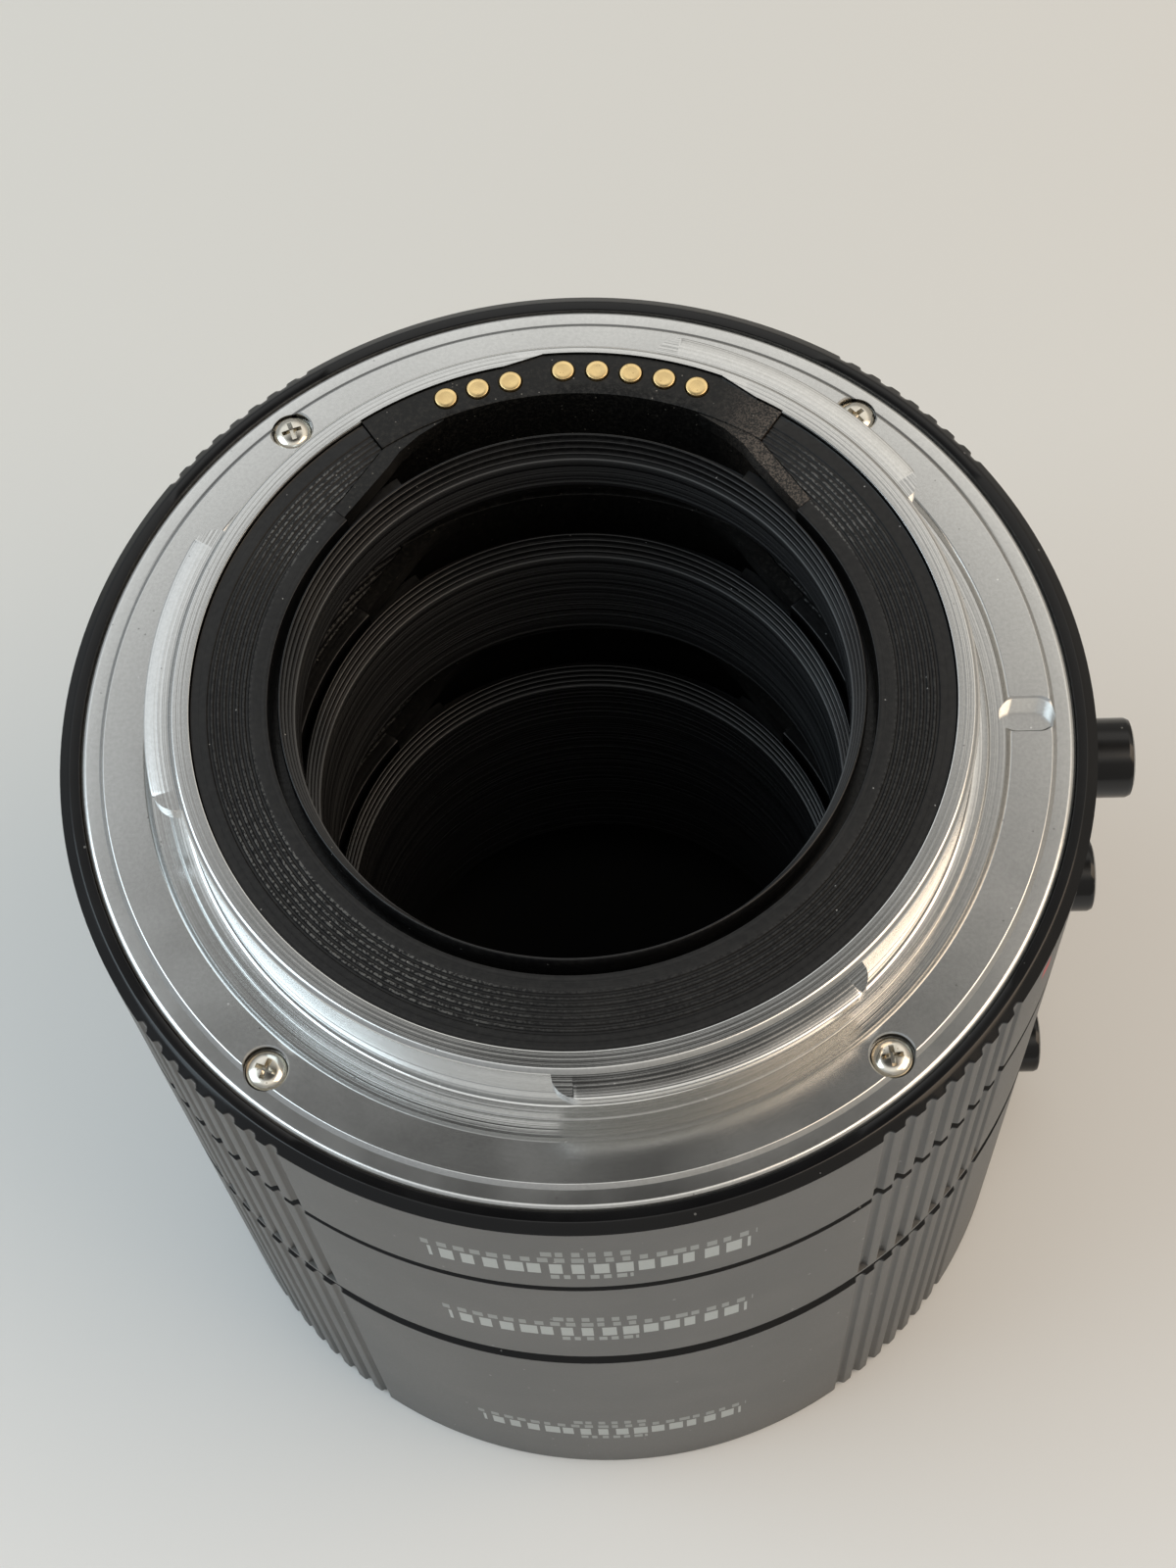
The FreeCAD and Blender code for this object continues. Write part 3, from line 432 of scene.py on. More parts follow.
def satin_barrel(name, middle, mark):
    material, tree, shader = new_finish(name, (0.1, 0.099, 0.096), 0.46, 0.35)
    where = object_place(tree)
    cloud = noise(tree, where, 90, 3)
    grain = noise(tree, where, 5200, 2, 0.7)
    tone = blend(tree, ramp(tree, cloud, 0.3, 0.7), (0.088, 0.088, 0.086, 1),
                 (0.112, 0.11, 0.106, 1))
    tone = blend(tree, ramp(tree, grain, 0.35, 0.75, 0, 0.45), tone, (0.19, 0.188, 0.183, 1))
    dust = use(tree, speck_group, Cells_per_mm=1.1, Share=0.03, Size=0.12)["Mask"]
    tone = blend(tree, calc(tree, "MULTIPLY", dust, 0.5), tone, (0.5, 0.5, 0.48, 1))
    for offset, half, length, bars, filling, strength in PRINT_ROWS:
        row = use(tree, row_group, Middle_height=middle + offset, Half_height=half,
                  Half_length=length, Bars_per_mm=bars, Filling=filling)["Mask"]
        tone = blend(tree, calc(tree, "MULTIPLY", row, strength), tone, (0.5, 0.53, 0.52, 1))
    if mark:
        place = use(tree, axis_group)
        angle_off = calc(tree, "ABSOLUTE", calc(tree, "SUBTRACT", place["Angle"], mark[0]))
        height_off = calc(tree, "ABSOLUTE", calc(tree, "SUBTRACT", place["Height"], mark[1]))
        inside = calc(tree, "MULTIPLY", calc(tree, "LESS_THAN", angle_off, 0.95),
                      calc(tree, "LESS_THAN", height_off, 0.9))
        tone = blend(tree, inside, tone, (0.5, 0.02, 0.025, 1))
    tree.links.new(tone, shader.inputs["Base Color"])
    tree.links.new(ramp(tree, grain, 0.3, 0.7, 0.42, 0.52), shader.inputs["Roughness"])
    add_bump(tree, shader, grain, 0.012, 0.5)
    return material


satin = {
    "13": satin_barrel("satin_barrel_13", 61.3, (-29, 66)),
    "20": satin_barrel("satin_barrel_20", 45, None),
    "36": satin_barrel("satin_barrel_36", 12.2, None)}
print("satin barrel finishes:", ", ".join(satin))

# %% [markdown]
# ### Turned aluminium
# The bayonet rings are bare turned alloy: a bright metal whose fine rings spread every
# reflection. The rings go into roughness and a very shallow bump. Small dark specks and
# bright chips lie on top, and painted shade darkens the step near the flange's far edge.

# %% Finish: turned alloy
def turned_alloy():
    material, tree, shader = new_finish("turned_alloy", (0.66, 0.66, 0.645), 0.3, 1.0)
    marks = use(tree, lathe_group, Rings_per_mm=7)
    place = use(tree, axis_group)
    where = object_place(tree)
    cloud = noise(tree, where, 130, 3)
    grain = noise(tree, where, 4200, 2, 0.7)
    on_collar = ramp(tree, place["Radius"], 27.8, 27.3)
    tone = blend(tree, ramp(tree, grain, 0.3, 0.7), (0.64, 0.64, 0.63, 1), (0.69, 0.69, 0.68, 1))
    specks = use(tree, speck_group, Cells_per_mm=2.2, Share=0.03, Size=0.13)["Mask"]
    tone = blend(tree, calc(tree, "MULTIPLY", specks, 0.5), tone, (0.2, 0.195, 0.19, 1))
    chips = use(tree, speck_group, Cells_per_mm=1.3, Share=0.03, Size=0.1)["Mask"]
    tone = blend(tree, chips, tone, (0.95, 0.95, 0.94, 1))
    # Painted shade: a dark line on the step near the flange's edge, on the far side only.
    corner = calc(tree, "ABSOLUTE", calc(tree, "SUBTRACT", place["Radius"], 30.76))
    turn = calc(tree, "ABSOLUTE", calc(tree, "SUBTRACT", place["Angle"], 90))
    painted_step_shade = calc(tree, "MULTIPLY", ramp(tree, corner, 0.12, 0.06), ramp(tree, turn, 75, 50))
    tone = blend(tree, calc(tree, "MULTIPLY", painted_step_shade, 0.85), tone, (0.1, 0.1, 0.1, 1))
    tree.links.new(tone, shader.inputs["Base Color"])
    rings = calc(tree, "MULTIPLY", on_collar, ramp(tree, marks["Rings"], 0.25, 0.75, -0.1, 0.04))
    rough = calc(tree, "ADD", ramp(tree, cloud, 0.3, 0.7, 0.17, 0.23), rings)
    tree.links.new(rough, shader.inputs["Roughness"])
    ridges = calc(tree, "MULTIPLY", calc(tree, "ADD", on_collar, 0.07), marks["Rings"])
    height = calc(tree, "ADD", ridges, calc(tree, "MULTIPLY", grain, 0.12))
    add_bump(tree, shader, height, 0.014, 0.6)
    return material


alloy = turned_alloy()
print("finish turned_alloy")

# %% [markdown]
# ### Gloss black, matt black and the contact carrier
# Rim and buttons are gloss black. Baffles and sleeves are black mouldings and turnings
# with a soft sheen: the baffle's crests carry painted highlights in places, and the sleeve's
# wall has grey rings painted on as the sheen of its thread. The contact carrier is a duller
# plastic with a fine grain, dusty at one end.

# %% Finishes: the blacks
def gloss_black():
    material, tree, shader = new_finish("gloss_black", (0.004, 0.004, 0.0045), 0.14,
                                        Specular_IOR_Level=0.4)
    cloud = noise(tree, object_place(tree), 240, 3)
    tree.links.new(ramp(tree, cloud, 0.3, 0.7, 0.1, 0.2), shader.inputs["Roughness"])
    dust = use(tree, speck_group, Cells_per_mm=1.6, Share=0.05, Size=0.14)["Mask"]
    tone = blend(tree, calc(tree, "MULTIPLY", dust, 0.4), (0.004, 0.004, 0.0045, 1),
                 (0.3, 0.3, 0.29, 1))
    tree.links.new(tone, shader.inputs["Base Color"])
    return material


def painted_crest_highlights(tree, place, grain):
    """Painted highlights: dotted pale lines on the crests of the baffle's rings, strongest at
    three angles.
    """
    step = calc(tree, "DIVIDE", calc(tree, "SUBTRACT", place["Radius"], 22.41), 0.4)
    off = calc(tree, "ABSOLUTE", calc(tree, "SUBTRACT", calc(tree, "FRACT", step), 0.5))
    line = calc(tree, "LESS_THAN", off, 0.2)
    zone = calc(tree, "MULTIPLY", calc(tree, "GREATER_THAN", place["Radius"], 20.1),
                calc(tree, "LESS_THAN", place["Radius"], 22.85))
    crest_light = 0.0
    # Painted highlight: stronger at three angles, where the lamps catch the crests.
    for middle, reach in ((-132, 42), (141, 16), (38, 14)):
        turn = calc(tree, "ABSOLUTE", calc(tree, "SUBTRACT", place["Angle"], middle))
        crest_light = calc(tree, "ADD", crest_light, ramp(tree, turn, reach, reach * 0.3))
    crest_light = calc(tree, "ADD", calc(tree, "MULTIPLY", crest_light, 0.75), 0.12)
    dotted = ramp(tree, grain, 0.4, 0.6)
    return calc(tree, "MULTIPLY", calc(tree, "MULTIPLY", line, zone),
                calc(tree, "MULTIPLY", crest_light, dotted), clamp=True)


def matt_black(name, rings, low, high, specular, crest_highlights=False, painted_bore_sheen=False):
    """Black moulding or turning with fine rings and dust, and if asked painted highlights on the
    crests or a painted sheen on the thread.
    """
    material, tree, shader = new_finish(name, (0.006, 0.006, 0.0065), high,
                                        Specular_IOR_Level=specular)
    marks = use(tree, lathe_group, Rings_per_mm=rings)
    where = object_place(tree)
    grain = noise(tree, where, 2600, 2)
    cloud = noise(tree, where, 160, 3)
    dust = use(tree, speck_group, Cells_per_mm=1.9, Share=0.06, Size=0.1)["Mask"]
    tone = blend(tree, ramp(tree, grain, 0.3, 0.8), (0.005, 0.005, 0.0055, 1),
                 (0.011, 0.011, 0.011, 1))
    tone = blend(tree, ramp(tree, cloud, 0.5, 0.8, 0, 0.5), tone, (0.016, 0.0155, 0.015, 1))
    tone = blend(tree, calc(tree, "MULTIPLY", dust, 0.6), tone, (0.4, 0.4, 0.39, 1))
    # Painted sheen: the sleeve's threaded wall gets pale rings in its colour in place of
    # reflections.
    if painted_bore_sheen:
        wall = ramp(tree, use(tree, axis_group)["Radius"], 17.8, 17.64)
        painted_thread_sheen = blend(tree, ramp(tree, marks["Rings"], 0.35, 0.7), (0.012, 0.012, 0.013, 1),
                       (0.06, 0.062, 0.064, 1))
        tone = blend(tree, wall, tone, painted_thread_sheen)
    # Painted highlights on the crests of the baffle's rings.
    if crest_highlights:
        crest_highlight = painted_crest_highlights(tree, use(tree, axis_group), noise(tree, where, 5200, 1))
        tone = blend(tree, crest_highlight, tone, (0.11, 0.112, 0.11, 1))
    tree.links.new(tone, shader.inputs["Base Color"])
    tree.links.new(ramp(tree, marks["Rings"], 0.25, 0.75, low, high), shader.inputs["Roughness"])
    height = calc(tree, "ADD", calc(tree, "MULTIPLY", marks["Rings"], 0.7), grain)
    add_bump(tree, shader, height, 0.014, 0.6)
    return material


def carrier_black():
    material, tree, shader = new_finish("carrier_black", (0.008, 0.008, 0.0078), 0.36,
                                        Specular_IOR_Level=0.35)
    where = object_place(tree)
    grain = noise(tree, where, 4000, 4, 0.7)
    place = use(tree, axis_group)
    right_end = calc(tree, "MULTIPLY", ramp(tree, place["Angle"], 66, 54),
                     ramp(tree, place["Height"], 60, 68))
    tone = blend(tree, ramp(tree, grain, 0.45, 0.7), (0.005, 0.005, 0.005, 1),
                 (0.018, 0.017, 0.015, 1))
    fine = noise(tree, where, 8200, 3, 0.7)
    dusty = calc(tree, "MULTIPLY", right_end, ramp(tree, fine, 0.44, 0.6))
    tone = blend(tree, calc(tree, "MULTIPLY", dusty, 0.8), tone, (0.115, 0.095, 0.08, 1))
    specks = use(tree, speck_group, Cells_per_mm=3.5, Share=0.05, Size=0.18)["Mask"]
    tone = blend(tree, calc(tree, "MULTIPLY", specks, 0.5), tone, (0.3, 0.28, 0.25, 1))
    tree.links.new(tone, shader.inputs["Base Color"])
    tree.links.new(ramp(tree, grain, 0.3, 0.7, 0.3, 0.5), shader.inputs["Roughness"])
    add_bump(tree, shader, grain, 0.02, 0.6)
    return material


gloss = gloss_black()
matt = matt_black("matt_black", 6, 0.28, 0.44, 0.4, crest_highlights=True)
sleeve_black = matt_black("sleeve_black", 3, 0.12, 0.22, 0.5, painted_bore_sheen=True)
carrier = carrier_black()
print("finishes gloss_black, matt_black, sleeve_black, carrier_black")

# %% [markdown]
# ### Gold, steel, springs and film
# Small metal pieces share one recipe: a metal colour, a cloudy roughness and specks of
# tarnish. Only the numbers differ.

# %% Finishes: small metals and the flexible circuit
def small_metal(name, color, tarnish, rough, share):
    material, tree, shader = new_finish(name, color, rough, 1.0)
    where = object_place(tree)
    cloud = noise(tree, where, 900, 3, 0.6)
    specks = use(tree, speck_group, Cells_per_mm=5, Share=share, Size=0.3)["Mask"]
    tone = blend(tree, ramp(tree, cloud, 0.4, 0.75, 0, 0.35), (*color, 1), (*tarnish, 1))
    tone = blend(tree, calc(tree, "MULTIPLY", specks, 0.6), tone, (*tarnish, 1))
    tree.links.new(tone, shader.inputs["Base Color"])
    tree.links.new(ramp(tree, cloud, 0.3, 0.7, rough - 0.05, rough + 0.1),
                   shader.inputs["Roughness"])
    add_bump(tree, shader, cloud, 0.006, 0.5)
    return material


gold = small_metal("gold_contact", (1.0, 0.74, 0.36), (0.6, 0.42, 0.2), 0.26, 0.12)
nickel = small_metal("nickel_screw", (0.74, 0.7, 0.62), (0.35, 0.32, 0.27), 0.14, 0.08)
spring_steel = small_metal("spring_steel", (0.56, 0.56, 0.55), (0.3, 0.29, 0.28), 0.28, 0.05)
film, tree, shader = new_finish("amber_film", (0.45, 0.17, 0.03), 0.3)
weave = noise(tree, object_place(tree), 1500, 2)
tree.links.new(blend(tree, ramp(tree, weave, 0.35, 0.7), (0.45, 0.17, 0.03, 1),
                     (0.3, 0.1, 0.02, 1)), shader.inputs["Base Color"])
print("finishes gold_contact, nickel_screw, spring_steel, amber_film")

# %% [markdown]
# ## The barrels
# A barrel is a turned shell with four fields of milled grip grooves and a hole for the
# release button. The outline is spun in sectors: the grip fields get sixteen columns of
# faces per groove, the plain walls far fewer. The columns are then pushed inwards along
# the groove's flat-bottomed section, as the milling cutter does, and the button hole is
# cut last. The longest tube has the widest rim chamfer, which makes a broad dark joint.

# %% Barrels
HALF_GROOVES = 4
GROOVE_DEPTH = 0.42
GROOVE_HALF_WIDTH = 0.47
GROOVE_FLANK = 0.25
GROOVE_SHARE_IN_RIM = 0.6
BUTTON_HOLE_R = 2.72
RIM_UNDER_FACE = 0.35
RIM_DROPS = {"13": 0.5, "20": 0.5, "36": 0.8}
FRONT_BEVELS = {"13": 0.2, "20": 1.1, "36": 0.3}
GRIP_STARTS = {"13": 0, "20": 1.5, "36": 0}


def for_each_tube(make):
    """Make one piece for each of the three tubes."""
    for name, (base, length) in TUBES.items():
        make(name, base, length)


def groove_depth(degrees):
    """Depth of the grip grooves at an angle, in millimetres."""
    for middle in GRIP_ANGLES:
        steps = (degrees - middle) / GRIP_PITCH
        if abs(steps) <= HALF_GROOVES:
            side = abs((steps % 1 - 0.5) * math.radians(GRIP_PITCH) * BARREL_R)
            slope = min(1.0, max(0.0, (GROOVE_HALF_WIDTH - side) / GROOVE_FLANK))
            return GROOVE_DEPTH * slope * slope * (3 - 2 * slope)
    return 0.0


def barrel_outline(length, bevel, grip_start, drop):
    """The shell's section; its gloss rim drops by this much at the outside."""
    top = length - RIM_UNDER_FACE
    inset = drop + 0.2
    corners = [(31.65, 0), (BARREL_R - bevel, 0), (BARREL_R, bevel)]
    if grip_start:
        corners += [(BARREL_R, grip_start - 0.03), (BARREL_R, grip_start)]
    for share in (0, 0.2, 0.4, 0.65):
        corners.append((BARREL_R - inset * share, top - drop + drop * share))
    return corners + [
        (BARREL_R - inset, top, 0.06), (32.05, top, 0.06), (32.05, length - FLANGE_THICK),
        (31, length - FLANGE_THICK), (31, 3), (31.65, 3)]


def make_barrel(name, base, length):
    grip_start, drop = GRIP_STARTS[name], RIM_DROPS[name]
    rim = length - RIM_UNDER_FACE - drop
    bm = bmesh.new()
    draw_outline(bm, barrel_outline(length, FRONT_BEVELS[name], grip_start, drop))
    half_field = HALF_GROOVES * GRIP_PITCH
    start = Matrix.Rotation(math.radians(GRIP_ANGLES[0] - half_field), 3, "Z")
    bmesh.ops.rotate(bm, cent=(0, 0, 0), matrix=start, verts=bm.verts[:])
    last = bm.verts[:] + bm.edges[:]
    for number, middle in enumerate(GRIP_ANGLES):
        following = GRIP_ANGLES[(number + 1) % 4] + 360 * (number == 3)
        last = spin(bm, last, 2 * half_field, 128)
        last = spin(bm, last, following - middle - 2 * half_field, 40)
    tidy(bm)
    for vert in bm.verts:
        place = vert.co
        degrees = math.degrees(math.atan2(place.y, place.x)) % 360
        share = GROOVE_SHARE_IN_RIM if place.z > rim - 0.01 else 1
        limit = BARREL_R - groove_depth(degrees) * share
        reach = math.hypot(place.x, place.y)
        if reach > limit and place.z > grip_start - 0.01:
            place.x *= limit / reach
            place.y *= limit / reach
    moved(bm, z=base)
    shell = as_object(bm, f"barrel_shell_{name}")
    hole = bmesh.new()
    bmesh.ops.create_cone(hole, cap_ends=True, segments=64, radius1=BUTTON_HOLE_R,
                          radius2=BUTTON_HOLE_R, depth=8)
    bmesh.ops.rotate(hole, cent=(0, 0, 0), matrix=Matrix.Rotation(math.radians(90), 3, "Y"),
                     verts=hole.verts[:])
    machine(shell, moved(hole, x=32, z=base + BUTTON_HIGH))
    for face in shell.data.polygons:
        middle = face.center
        outside = math.hypot(middle.x, middle.y) > FLANGE_R
        face.material_index = int(middle.z > base + rim + 0.01 and outside)
    return finish_piece(shell, "tube_stack", [f"barrel_{name}"],
                        [satin[name], gloss], 40)


for_each_tube(make_barrel)

# %% [markdown]
# ## The rear bayonet rings
# Each ring is one turning: flange with a stepped edge, collar, and three lugs that grip
# the next tube. Spinning and welding the lugs keeps every edge rounded. Screw seats, the
# lock slot and the notch for the contact block are cut with small shaped cutters that
# already carry the chamfer.

# %% Rear bayonet rings
LUG_R = 26.9
LUG_SPAN = 46
LUG_THICK = 1.2
LUG_END = 2.1
SLOPE_SPAN = 6.5


def lug(middle, top):
    """One bayonet lug with rounded ends."""
    foot = top - LUG_THICK
    bm = sector([(24.7, foot), (LUG_R, foot, 0.1), (LUG_R, top, 0.15), (24.7, top)],
                middle, LUG_SPAN, 140)
    for vert in bm.verts:
        place = vert.co
        reach = math.hypot(place.x, place.y)
        degrees = math.degrees(math.atan2(place.y, place.x))
        off = abs((degrees - middle + 180) % 360 - 180)
        left = max(0, math.radians(LUG_SPAN / 2 - off) * LUG_R)
        if left < LUG_END and reach > 25:
            limit = 25.2 + 1.7 * math.sqrt(max(0, 1 - (1 - left / LUG_END) ** 2))
            share = min(1, limit / reach)
            place.x *= share
            place.y *= share
    return bm


def prism(corners, low, high):
    """Raise a flat plan outline into a block."""
    bm = bmesh.new()
    points = [bm.verts.new((across, along, low)) for across, along in corners]
    plan = bm.faces.new(points)
    step = bmesh.ops.extrude_face_region(bm, geom=[plan])["geom"]
    roof = [item for item in step if isinstance(item, bmesh.types.BMVert)]
    bmesh.ops.translate(bm, vec=(0, 0, high - low), verts=roof)
    return tidy(bm)


def block_slope(side, margin):
    """Plan of the slope that leads up to the wide part of the contact block."""
    high_end = WIDE_ANGLE + side * WIDE_SPAN / 2
    low_end = high_end + side * SLOPE_SPAN
    inside = high_end - side * 0.8
    return [polar(23, low_end), polar(24.09 + margin, low_end), polar(24.64 + margin, high_end),
            polar(24.3, inside), polar(23, inside)]


def slot_cutter(depth):
    """A milled slot with round ends and a small chamfer along its upper edge."""
    bm = bmesh.new()
    bmesh.ops.create_circle(bm, cap_ends=True, segments=48, radius=1.15)
    for vert in bm.verts:
        vert.co.x += math.copysign(0.65, vert.co.x)
    moved(bm, z=-depth)
    base = bm.faces[:]
    for rise, grow in ((depth - 0.12, 1), (0.12, 1.1), (1, 1)):
        step = bmesh.ops.extrude_face_region(bm, geom=base)["geom"]
        if rise != depth - 0.12:
            bmesh.ops.delete(bm, geom=base, context="FACES_ONLY")
        rim = [item for item in step if isinstance(item, bmesh.types.BMVert)]
        base = [item for item in step if isinstance(item, bmesh.types.BMFace)]
        bmesh.ops.translate(bm, vec=(0, 0, rise), verts=rim)
        bmesh.ops.scale(bm, vec=(grow, grow, 1), verts=rim)
    return tidy(bm)


def make_rear_mount(name, base, length):
    face = base + length
    top = face + COLLAR_HIGH
    ring = as_object(turned([
        (COLLAR_BORE, face - FLANGE_THICK), (FLANGE_R, face - FLANGE_THICK),
        (FLANGE_R, face - 0.55, 0.08),
        (31.7, face - 0.3, 0.12), (30.74, face - 0.3),
        (30.46, face, 0.06),
        (27.78, face, 0.12), (27.5, face - 0.25), (26.5, face - 0.25), (26.4, face - 0.33),
        (26.3, face - 0.25), (COLLAR_R, face - 0.25, 0.3), (COLLAR_R, face + 0.7),
        (COLLAR_R - 0.1, face + 0.8), (COLLAR_R, face + 0.9), (COLLAR_R, face + 1.9),
        (COLLAR_R - 0.08, face + 2), (COLLAR_R, face + 2.1),
        (COLLAR_R, top - 0.3, 0.1), (COLLAR_R - 0.3, top, 0.1), (COLLAR_BORE, top, 0.08)]),
        f"rear_bayonet_{name}")
    for middle in LUG_ANGLES:
        machine(ring, lug(middle, top - 0.3), "UNION")
    for degrees in SCREW_ANGLES:
        seat = turned([(0, -SCREW_SINK), (1.4, -SCREW_SINK), (1.4, -0.1), (1.5, 0), (1.5, 1),
                       (0, 1)], 48, closed=False)
        across, up = polar(SCREW_CIRCLE, degrees)
        machine(ring, moved(seat, across, up, face))
    machine(ring, moved(slot_cutter(1.2), x=28.9, z=face))
    for outer, middle, span in ((24.15, BLOCK_ANGLE, BLOCK_SPAN + 0.3),
                                (24.7, WIDE_ANGLE, WIDE_SPAN + 0.2)):
        notch = [(22, face - 1), (outer, face - 1), (outer, top + 1), (22, top + 1)]
        machine(ring, sector(notch, middle, span, 48))
    for side in (-1, 1):
        machine(ring, prism(block_slope(side, 0.05), face - 1, top + 1))
    return finish_piece(ring, "tube_stack", [f"rear_mount_{name}"], [alloy], 30)


for_each_tube(make_rear_mount)

# %% [markdown]
# ## The mount screws
# Small pan heads with a cross recess. The head is an outline spun about its own axis, and
# the recess is cut by two tapered blades. Every screw stopped at another angle, as on a
# real one.

# %% Mount screws
def one_screw():
    """A screw that stands on its own origin, with its head up."""
    screw = as_object(turned([
        (0, 0.8), (0.7, 0.76), (1.05, 0.66), (1.25, 0.48), (1.35, 0.22), (1.35, 0, 0.04),
        (0.75, 0), (0.75, -3.1), (0.6, -3.2), (0, -3.2)], 48, closed=False), "screw")
    for quarter in (0, 90):
        blade = bmesh.new()
        bmesh.ops.create_cube(blade, size=1)
        bmesh.ops.scale(blade, vec=(1.75, 0.38, 0.7), verts=blade.verts[:])
        low = [vert for vert in blade.verts if vert.co.z < 0]
        bmesh.ops.scale(blade, vec=(0.4, 0.5, 1), verts=low)
        turn = Matrix.Rotation(math.radians(quarter), 3, "Z")
        bmesh.ops.rotate(blade, cent=(0, 0, 0), matrix=turn, verts=blade.verts[:])
        machine(screw, moved(blade, z=0.68))
    return screw


def make_screws(label, node, face, up, turns):
    """Four screws whose heads look up or down."""
    bm = bmesh.new()
    for degrees, turn in zip(SCREW_ANGLES, turns):
        across, along = polar(SCREW_CIRCLE, degrees)
        seat = face - SCREW_SINK if up else face + SCREW_SINK
        place = Matrix.Translation((across, along, seat))
        if not up:
            place = place @ Matrix.Rotation(math.pi, 4, "X")
        mesh = master_screw.data.copy()
        mesh.transform(place @ Matrix.Rotation(math.radians(turn), 4, "Z"))
        bm.from_mesh(mesh)
        bpy.data.meshes.remove(mesh)
    return finish_piece(as_object(bm, label), "tube_stack", [node], [nickel], 35)


master_screw = one_screw()
for name, (base, length) in TUBES.items():
    make_screws(f"rear_mount_screws_{name}", f"rear_screws_{name}", base + length, True,
                (40, 20, 68, 8))
    make_screws(f"front_mount_screws_{name}", f"front_screws_{name}", base, False,
                (12, 55, 31, 77))
bpy.data.objects.remove(master_screw)

# %% [markdown]
# ## The light baffles
# A baffle is a black moulding that narrows the collar. Fine rings on its top keep stray
# light down. It is spun with the rings in its outline; then the notch for the contact
# block and the two beds of the block's arms are cut.

# %% Light baffles
RIDGE_COUNT = 7
RIDGE_PITCH = 0.4


def arm_outline(side, margin):
    """Plan corners of one straight arm of the contact block, grown by a margin."""
    end = BLOCK_ANGLE + side * BLOCK_SPAN / 2
    tip = end + side * (14.4 + margin)
    return [polar(22, end - side * 12), polar(21.8 + margin, end - side * 2),
            polar(21.5 + margin, end + side * 0.5), polar(20.3 + margin, tip), polar(19.4, tip),
            polar(19.75, end + side * 7), polar(20.25, end + side * 1.4),
            polar(20.8, end - side * 2.2), polar(21.2, end - side * 6.6),
            polar(21.55, end - side * 12)]


def make_light_baffle(name, base, length):
    face = base + length
    top = face + COLLAR_HIGH - 0.3
    corners = [
        (22.95, face - 3), (26.4, face - 3), (26.4, face - FLANGE_THICK),
        (23.95, face - FLANGE_THICK), (23.95, top, 0.06)]
    for ridge in range(RIDGE_COUNT):
        edge = 22.95 - RIDGE_PITCH * ridge
        corners += [(edge, top), (edge - 0.08, top - 0.09), (edge - 0.2, top - 0.09),
                    (edge - 0.28, top)]
    corners += [
        (BORE_R, top, 0.12), (BORE_R, top - 2.6), (20.1, top - 2.6), (20.1, top - 1),
        (22.95, top - 1)]
    baffle = as_object(turned(corners), f"baffle_ring_{name}")
    notch = [(18, face - 1), (25, face - 1), (25, top + 1), (18, top + 1)]
    machine(baffle, sector(notch, BLOCK_ANGLE, BLOCK_SPAN + 0.45, 48))
    for side in (-1, 1):
        bed = arm_outline(side, 0.08)[:4]
        tip = BLOCK_ANGLE + side * (BLOCK_SPAN / 2 + 14.48)
        bed += [polar(18, tip), polar(18, tip - side * 10), polar(18, tip - side * 26)]
        machine(baffle, prism(bed, top - 1.6, top + 1))
    return finish_piece(baffle, "tube_stack", [f"light_baffle_{name}"], [matt], 32)


for_each_tube(make_light_baffle)

# %% [markdown]
# ## The inner sleeves
# The sleeves line the light path. Their mouth narrows in five small steps with rounded
# crests and the wall carries a fine thread, both there to break up glare. All of it is in
# the outline.

# %% Inner sleeves
SLEEVE_BORE = 17.55
MOUTH_STEPS = 5
THREAD_PITCH = 0.4


def make_inner_sleeve(name, base, length):
    top = base + length + COLLAR_HIGH + 0.2
    foot = base + 13.5
    shoulder = base + length + COLLAR_HIGH - 2.9
    corners = [
        (SLEEVE_BORE, foot), (SLEEVE_R, foot), (SLEEVE_R, shoulder - 0.8), (20.1, shoulder - 0.8),
        (20.1, shoulder), (SLEEVE_R, shoulder), (SLEEVE_R, top - 0.4, 0.05),
        (18.34, top, 0.04)]
    for rib in range(MOUTH_STEPS):
        inner, level = 18.2 - 0.1625 * rib, top - 0.5 * rib
        corners += [(inner, level - 0.02, 0.045), (inner, level - 0.5)]
    height = top - 2.9
    while height > foot + 0.6:
        corners += [(SLEEVE_BORE, height), (17.62, height - THREAD_PITCH / 2)]
        height -= THREAD_PITCH
    sleeve = as_object(turned(corners, 200), f"sleeve_{name}")
    return finish_piece(sleeve, "tube_stack", [f"inner_sleeve_{name}"],
                        [sleeve_black], 50)


for_each_tube(make_inner_sleeve)

# %% [markdown]
# ## The contact blocks and their gold pads
# The carrier is an arc-shaped moulding, wider where the five pads sit, with a straight
# arm at each end. Sectors and prisms are welded to one body and the pads' seats are cut
# round. The pads themselves are spun discs with a rounded edge, a little proud.

# %% Rear contact blocks
def pad_places():
    five = [polar(23.35, WIDE_ANGLE + step * PAD_PITCH) for step in (-2, -1, 0, 1, 2)]
    three = [polar(22.95, 105.25 + step * PAD_PITCH) for step in (-1, 0, 1)]
    return five + three


